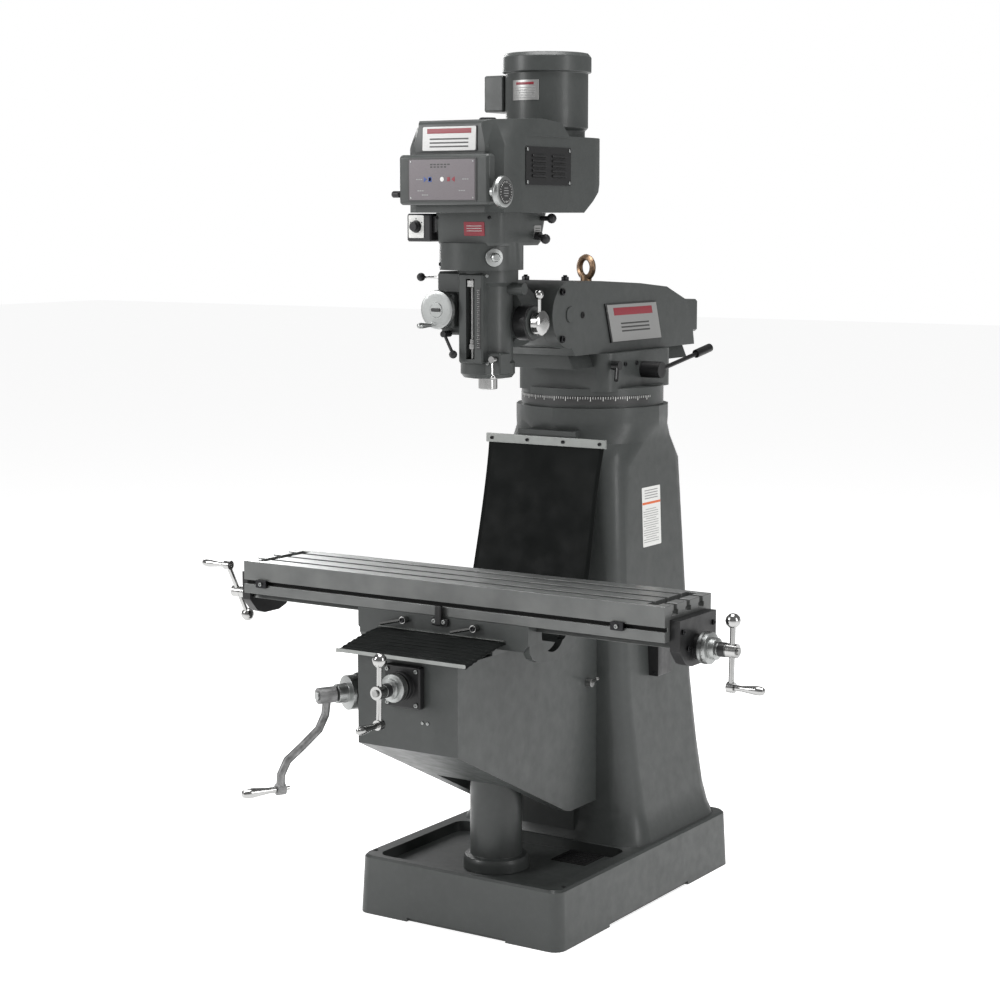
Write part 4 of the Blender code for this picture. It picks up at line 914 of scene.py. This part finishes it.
def speed_dial_face():
    """Dark face of the speed dial, with pale marks round its edge and plain bars for print."""
    low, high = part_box("speed_dial")
    middle = Vector((high.x - 0.0004, (low.y + high.y) / 2, (low.z + high.z) / 2))
    spot, _ = touch("speed_dial", middle + X * 0.1, -X)
    centre = Vector((spot.x, middle.y, middle.z))
    face = [(0.0285, -0.002), (0.0285, 0.0006), (0.0272, 0.0010)]
    parts = [("ink", turned(centre, X, face, 40))]
    for i in range(24):
        turn = 2 * math.pi * i / 24
        out = Vector((0, math.cos(turn), math.sin(turn)))
        size = 0.0050 if i % 3 == 0 else 0.0028
        place = centre + X * 0.0009 + out * (0.0255 - size / 2)
        parts.append(("paper", slab(place, X, rect(0, 0, 0.0010, size), 0.0003, up=out)))
    for i in range(4):
        width = 0.022 - 0.004 * abs(i - 1.5)
        place = centre + X * 0.0009 + Z * (0.009 - 0.006 * i)
        parts.append(("grey_ink", slab(place, X, rect(0, 0, width, 0.0018), 0.0003)))
    piece("speed_dial_face", "speed_dial", parts, 0.0)


def quill_scale():
    """Dark rule on the head's front, with pale marks every five millimetres."""
    place, normal = touch("head_casting", (0.026, -0.6, 1.54), (0, 1, 0))
    parts = [("ink", slab(place, normal, rounded(0.010, 0.150, 0.001), 0.0010, edge=0.0003))]
    for i in range(29):
        long = i % 2 == 0
        width = 0.007 if long else 0.004
        spot = rect(-0.005 + width / 2, -0.070 + 0.005 * i, width, 0.0007)
        parts.append(("plate", slab(place + normal * 0.0010, normal, spot, 0.0002)))
    piece("quill_scale", "head", parts, 0.0)


def stop_threads():
    """Fine thread on the depth stop rod."""
    low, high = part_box("depth_stop_rod")
    middle = (low + high) / 2
    radius = (high.x - low.x) / 2 + 0.0002
    pitch = 0.0021
    points = []
    turns = int((high.z - low.z - 0.012) / pitch)
    for i in range(turns * THREAD_STEPS + 1):
        turn = 2 * math.pi * i / THREAD_STEPS
        z = low.z + 0.006 + pitch * i / THREAD_STEPS
        points.append((middle.x + radius * math.cos(turn), middle.y + radius * math.sin(turn), z))
    piece("depth_stop_thread", "head", [("turned", tube(points, 0.0005, 5))], 0.0)


# ---- screws, nuts and oilers --------------------------------------------
def on_face(node, point, direction, kind, *sizes):
    """A fastener standing on the surface where a ray meets a node."""
    place, normal = touch(node, point, direction)
    return kind(place - normal * 0.0002, normal, *sizes)


def bracket_screws():
    """Cap screws of the table's brackets, the cross-feed bracket, the stop bracket and the lock levers."""
    for name, sign in (("bracket_screws_right", 1), ("bracket_screws_left", -1)):
        node = "table_bracket_right" if sign > 0 else "table_bracket_left"
        parts = []
        for y, z in ((-0.075, 0.030), (0.075, 0.030), (-0.050, -0.012), (0.050, -0.012)):
            start = (sign * 0.9, TABLE_Y + y, 0.810 + z)
            parts.append(("oxide", on_face(node, start, (-sign, 0, 0), cap_screw, 0.0065, 0.005)))
        piece(name, "table", parts, 0.0)
    parts = []
    for x in (-0.042, 0.042):
        for z in (-0.041, 0.041):
            start = (x, -0.8, CROSS_Z - 0.003 + z)
            parts.append(("satin", on_face("cross_feed_bracket", start, (0, 1, 0), cap_screw, 0.0052, 0.004)))
    piece("cross_bracket_screws", "knee", parts, 0.0)
    parts = []
    for x in (-0.014, 0.014):
        screw = on_face("table_stop_bracket", (x, -0.8, 0.806), (0, 1, 0), cap_screw, 0.0060, 0.004)
        parts.append(("satin", screw))
    piece("stop_bracket_screws", "saddle", parts, 0.0)
    for name, body, node in (
        ("lock_screw_left", "table_lock_left", "table_lock_lever_left"),
        ("lock_screw_right", "table_lock_right", "table_lock_lever_right"),
    ):
        _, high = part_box(node)
        start = (high.x - 0.009, -0.8, high.z - 0.009)
        screw = on_face(node, start, (0, 1, 0), cap_screw, 0.0068, 0.0030)
        piece(name, body, [("oxide", screw)], 0.0)


def ram_bolts():
    """Clamp bolts and the pivot on both of the ram's front cheeks, and two nuts on top."""
    parts = []
    for sign in (1, -1):
        inwards = (-sign, 0, 0)
        for z in (1.601, 1.482):
            bolt = on_face("ram_casting", (sign * 0.4, -0.035, z), inwards, cap_screw, 0.0090, 0.008)
            parts.append(("oxide", bolt))
        pivot = on_face("ram_casting", (sign * 0.4, 0.068, 1.539), inwards, cap_screw, 0.0085, 0.002)
        parts.append(("dark", pivot))
    for x in (0.060, -0.060):
        nut = on_face("ram_casting", (x, 0.080, 1.9), (0, 0, -1), hex_head, 0.0110, 0.012, 0.3)
        parts.append(("oxide", nut))
    piece("ram_bolts", "ram", parts, 0.0)


def knuckle_bolts():
    """Four nuts on the head's tilt flange."""
    parts = []
    for degrees in (45, 135, 225, 315):
        turn = math.radians(degrees)
        x, z = 0.066 * math.cos(turn), 1.542 + 0.066 * math.sin(turn)
        nut = on_face("knuckle_casting", (x, 0.30, z), (0, -1, 0), hex_head, 0.0105, 0.009, 0.3)
        parts.append(("oxide", nut))
    piece("knuckle_nuts", "knuckle", parts, 0.0)


def turret_bolts():
    """Clamp bolts where the turret's rim is clear of the ram, and two screws of the ram's gib."""
    parts = []
    for degrees in (-150, -60, 30, 120):
        turn = math.radians(degrees)
        start = (0.160 * math.cos(turn), TURRET_Y + 0.160 * math.sin(turn), 1.60)
        place, normal = touch("turret_casting", start, (0, 0, -1))
        if normal.z > 0.9 and place.z < 1.40:
            parts.append(("oxide", hex_head(place, normal, 0.0110, 0.010, 0.4)))
    for y in (0.240, 0.300):
        screw = on_face("turret_casting", (0.6, y, 1.405), (-1, 0, 0), cap_screw, 0.0060, 0.004)
        parts.append(("oxide", screw))
    piece("turret_bolts", "turret", parts, 0.0)


def head_screws():
    """Screws of the gear case, the motor's top and the head casting's front."""
    parts = []
    for x in (-0.085, 0.070):
        for z in (1.672, 1.786):
            parts.append(("oxide", on_face("gear_case", (x, -0.6, z), (0, 1, 0), cap_screw, 0.0042, 0.003)))
    for degrees in (20, 110, 200, 290):
        turn = math.radians(degrees)
        start = (0.10212 * math.cos(turn), MOTOR_Y + 0.10212 * math.sin(turn), 2.4)
        place, normal = touch("motor", start, (0, 0, -1))
        parts.append(("oxide", cap_screw(place - normal * 0.0018, normal, 0.0045, 0.0018)))
    for z in (1.4300, 1.6450):
        for x in (-0.040, 0.040):
            screw = on_face("head_casting", (x, -0.6, z), (0, 1, 0), cap_screw, 0.0040, 0.003)
            parts.append(("satin", screw))
    piece("head_screws", "head", parts, 0.0)


def knee_fittings():
    """Two small oilers on the knee's front."""
    parts = []
    for x in (0.045, 0.060):
        oiler = on_face("knee_casting", (x, -0.9, 0.585), (0, 1, 0), cap_screw, 0.0040, 0.0025)
        parts.append(("satin", oiler))
    piece("knee_oilers", "knee", parts, 0.0)


def strainer():
    """Drain cover in the base tray, with a grid of small round holes."""
    hole = [(0.0052, 0), (0.0048, 0.0008), (0.0030, 0.0008), (0.0028, 0.0002)]
    place, _ = touch("column_base", (0.143, 0.019, 0.30), (0, 0, -1))
    parts = [("dark", slab(place, Z, rounded(0.104, 0.104, 0.006), 0.0016, up=Y, edge=0.0006))]
    for i in range(6):
        for j in range(6):
            spot = place + Vector((-0.040 + 0.016 * i, -0.040 + 0.016 * j, 0.0016))
            parts.append(("oxide", turned(spot, Z, hole, 12)))
    piece("tray_strainer", "stand", parts, 0.0)


def table_dogs():
    """Travel stop dogs in the slot along the table's front."""
    parts = []
    for x in (-0.560, 0.500):
        place, _ = touch("table_casting", (x, -0.9, 0.8600), (0, 1, 0))
        place.z = 0.8460
        parts.append(("oxide", slab(place + Y * 0.001, -Y, rounded(0.034, 0.020, 0.002), 0.010, edge=0.001)))
        parts.append(("satin", cap_screw(place - Y * 0.009, -Y, 0.0050, 0.004)))
    piece("table_stop_dogs", "table", parts, 0.0)


def speed_box_knob():
    """Stub handle on the speed box's left side."""
    low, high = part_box("speed_change_box")
    place = Vector((low.x + 0.0005, (low.y + high.y) / 2, 1.842))
    profile = [
        (0.0045, 0.0), (0.0045, 0.006), (0.0078, 0.0065), (0.0082, 0.009), (0.0082, 0.026), (0.0070, 0.028),
        (0.0020, 0.0285),
    ]
    parts = [("plastic", turned(place, -X, profile, 28))]
    piece("speed_box_knob", "head", parts)


def engage_lever():
    """Feed engaging stick: steel stem, knurled collar and black ball."""
    low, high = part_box("feed_engage_lever")
    line = Vector((high.x, (low.y + high.y) / 2, (low.z + high.z) / 2))
    reach = high.x - low.x
    ball = (high.z - low.z) / 2 - 0.0002
    stem = [(0.0052, 0.0), (0.0052, 0.012), (0.0036, 0.016), (0.0034, reach - 2 * ball + 0.002)]
    profile = []
    for i in range(13):
        turn = math.pi * i / 12
        size = max(ball * math.sin(turn), 0.0008)
        profile.append((size, reach - ball - ball * math.cos(turn)))
    parts = [("chrome", turned(line, -X, stem, 20)), ("plastic", turned(line, -X, profile, 28))]
    lever = piece("engage_stick", "feed_engage", parts)
    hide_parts("feed_engage_lever")


def wheel_face():
    """Bright ring and dark crossbar at the fine-feed wheel's middle."""
    low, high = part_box("fine_feed_wheel")
    middle = Vector(((low.x + high.x) / 2, 0, (low.z + high.z) / 2))
    spot, _ = touch("fine_feed_wheel", middle + X * 0.020 + Y * -0.6, Y)
    centre = Vector((middle.x, spot.y, middle.z))
    bar = slab(centre, -Y, rounded(0.026, 0.0085, 0.003), 0.0045, edge=0.001)
    ring = turned(centre, -Y, [(0.0185, -0.001), (0.0185, 0.0010), (0.0170, 0.0014)], 36)
    piece("feed_wheel_centre", "fine_feed", [("satin", ring), ("ink", bar)], 0.0)


def spindle_drawbar():
    """Round cap over the drawbar, on top of the housing."""
    profile = [(0.021, 0.0), (0.021, 0.004), (0.018, 0.006), (0.004, 0.0065)]
    place, _ = touch("belt_housing", (0, SPINDLE_Y, 2.3), (0, 0, -1))
    parts = [("plastic", turned(place, Z, profile, 28))]
    piece("drawbar_cap", "head", parts)


def boss_sleeve():
    """Black spring housing on the quill feed's boss."""
    line = Vector((0, SPINDLE_Y + 0.049, 1.527))
    profile = [
        (0.036, 0.0), (0.0430, 0.001), (0.0440, 0.004),
        (0.0440, 0.036), (0.0425, 0.039), (0.030, 0.0395),
    ]
    sleeve = turned(line + X * 0.066, X, profile, 48)
    piece("feed_spring_housing", "head", [("black", sleeve)], 0.0)


def stop_slot():
    """Painted shade: a near-black strip inside the slot along the table's front, where the stop dogs slide.
    """
    low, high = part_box("table_casting")
    # painted shade: this strip stands in for the shade deep in the slot
    strip = slab((0, low.y + 0.0120, 0.8475), -Y, rounded(high.x - low.x - 0.004, 0.0098, 0.001), 0.0012)
    piece("stop_slot_painted_shade", "table", [("dark", strip)], 0.0)


def column_box():
    """Small box on the column's right side, behind the table."""
    place = Vector((0.225, 0.255, 0.629))
    parts = [("black", slab(place + Y * 0.073, -Y, rounded(0.044, 0.102, 0.003), 0.073, edge=0.0016))]
    for z in (-0.042, 0.042):
        parts.append(("oxide", cap_screw(place + Vector((0.010, 0.0002, z)), -Y, 0.0032, 0.002)))
    piece("column_side_box", "stand", parts, 0.0)


# ---- stage ---------------------------------------------------------------
def area_light(name, place, aim, power, size, colour=(1, 1, 1)):
    light = bpy.data.lights.new(name, "AREA")
    light.shape = "RECTANGLE"
    light.size, light.size_y = size
    light.energy = power
    light.color = colour
    lamp = bpy.data.objects.new(name, light)
    bpy.context.scene.collection.objects.link(lamp)
    lamp.location = place
    lamp.rotation_euler = (Vector(aim) - Vector(place)).to_track_quat("-Z", "Y").to_euler()


def build_stage():
    """Pale floor, even sky, four area lights and the camera."""
    mesh = bpy.data.meshes.new("floor")
    mesh.from_pydata([(-30, -30, 0), (30, -30, 0), (30, 30, 0), (-30, 30, 0)], [], [(0, 1, 2, 3)])
    floor = bpy.data.objects.new("floor", mesh)
    bpy.context.scene.collection.objects.link(floor)
    pale = Finish("pale_floor", (0.86, 0.86, 0.86), 0.0, 0.75)
    pale.shader.inputs["Emission Color"].default_value = (1.0, 1.0, 1.0, 1.0)
    pale.shader.inputs["Emission Strength"].default_value = FLOOR_GLOW
    mesh.materials.append(pale.material)

    world = bpy.data.worlds.new("studio")
    bpy.context.scene.world = world
    world.use_nodes = True
    tree = world.node_tree
    sky = tree.nodes["Background"]
    sky.inputs["Color"].default_value = (1.0, 1.0, 1.0, 1.0)
    seen = tree.nodes.new("ShaderNodeLightPath").outputs["Is Camera Ray"]
    level = tree.nodes.new("ShaderNodeMapRange")
    level.inputs["To Min"].default_value = WORLD_LIGHT
    level.inputs["To Max"].default_value = 1.0
    tree.links.new(seen, level.inputs["Value"])
    tree.links.new(level.outputs["Result"], sky.inputs["Strength"])

    area_light("key", (-3.6, -4.4, 3.4), (0, 0, 1.2), 150, (1.6, 2.6))
    area_light("right_fill", (4.8, -0.4, 2.4), (0, 0, 1.1), 65, (1.2, 3.0))
    area_light("back_left", (-3.8, 2.8, 2.8), (0, 0, 1.2), 70, (1.2, 2.6))
    area_light("top", (0.2, -0.4, 4.8), (0, 0, 1.0), 170, (2.6, 2.4))

    camera = bpy.data.cameras.new("camera")
    camera.lens = CAMERA_LENS
    camera.sensor_width = SENSOR
    camera.clip_end = 100
    eye = bpy.data.objects.new("camera", camera)
    bpy.context.scene.collection.objects.link(eye)
    eye.location = CAMERA_PLACE
    eye.rotation_euler = (math.pi / 2 - CAMERA_DROP, 0, CAMERA_TURN)
    bpy.context.scene.camera = eye
    bpy.context.scene.view_settings.view_transform = "Standard"


def main():
    build_stage()
    dress_nodes()
    build_covers()
    ram_badges()
    housing_badge()
    speed_plate()
    louvres()
    gear_case_label()
    range_label()
    column_label()
    motor_plate()
    switch_plate()
    build_turret_scale()
    dial_marks()
    dial_sleeves()
    speed_dial_face()
    quill_scale()
    stop_threads()
    bracket_screws()
    ram_bolts()
    knuckle_bolts()
    turret_bolts()
    head_screws()
    knee_fittings()
    strainer()
    table_dogs()
    speed_box_knob()
    spindle_drawbar()
    engage_lever()
    wheel_face()
    boss_sleeve()
    stop_slot()
    column_box()


main()
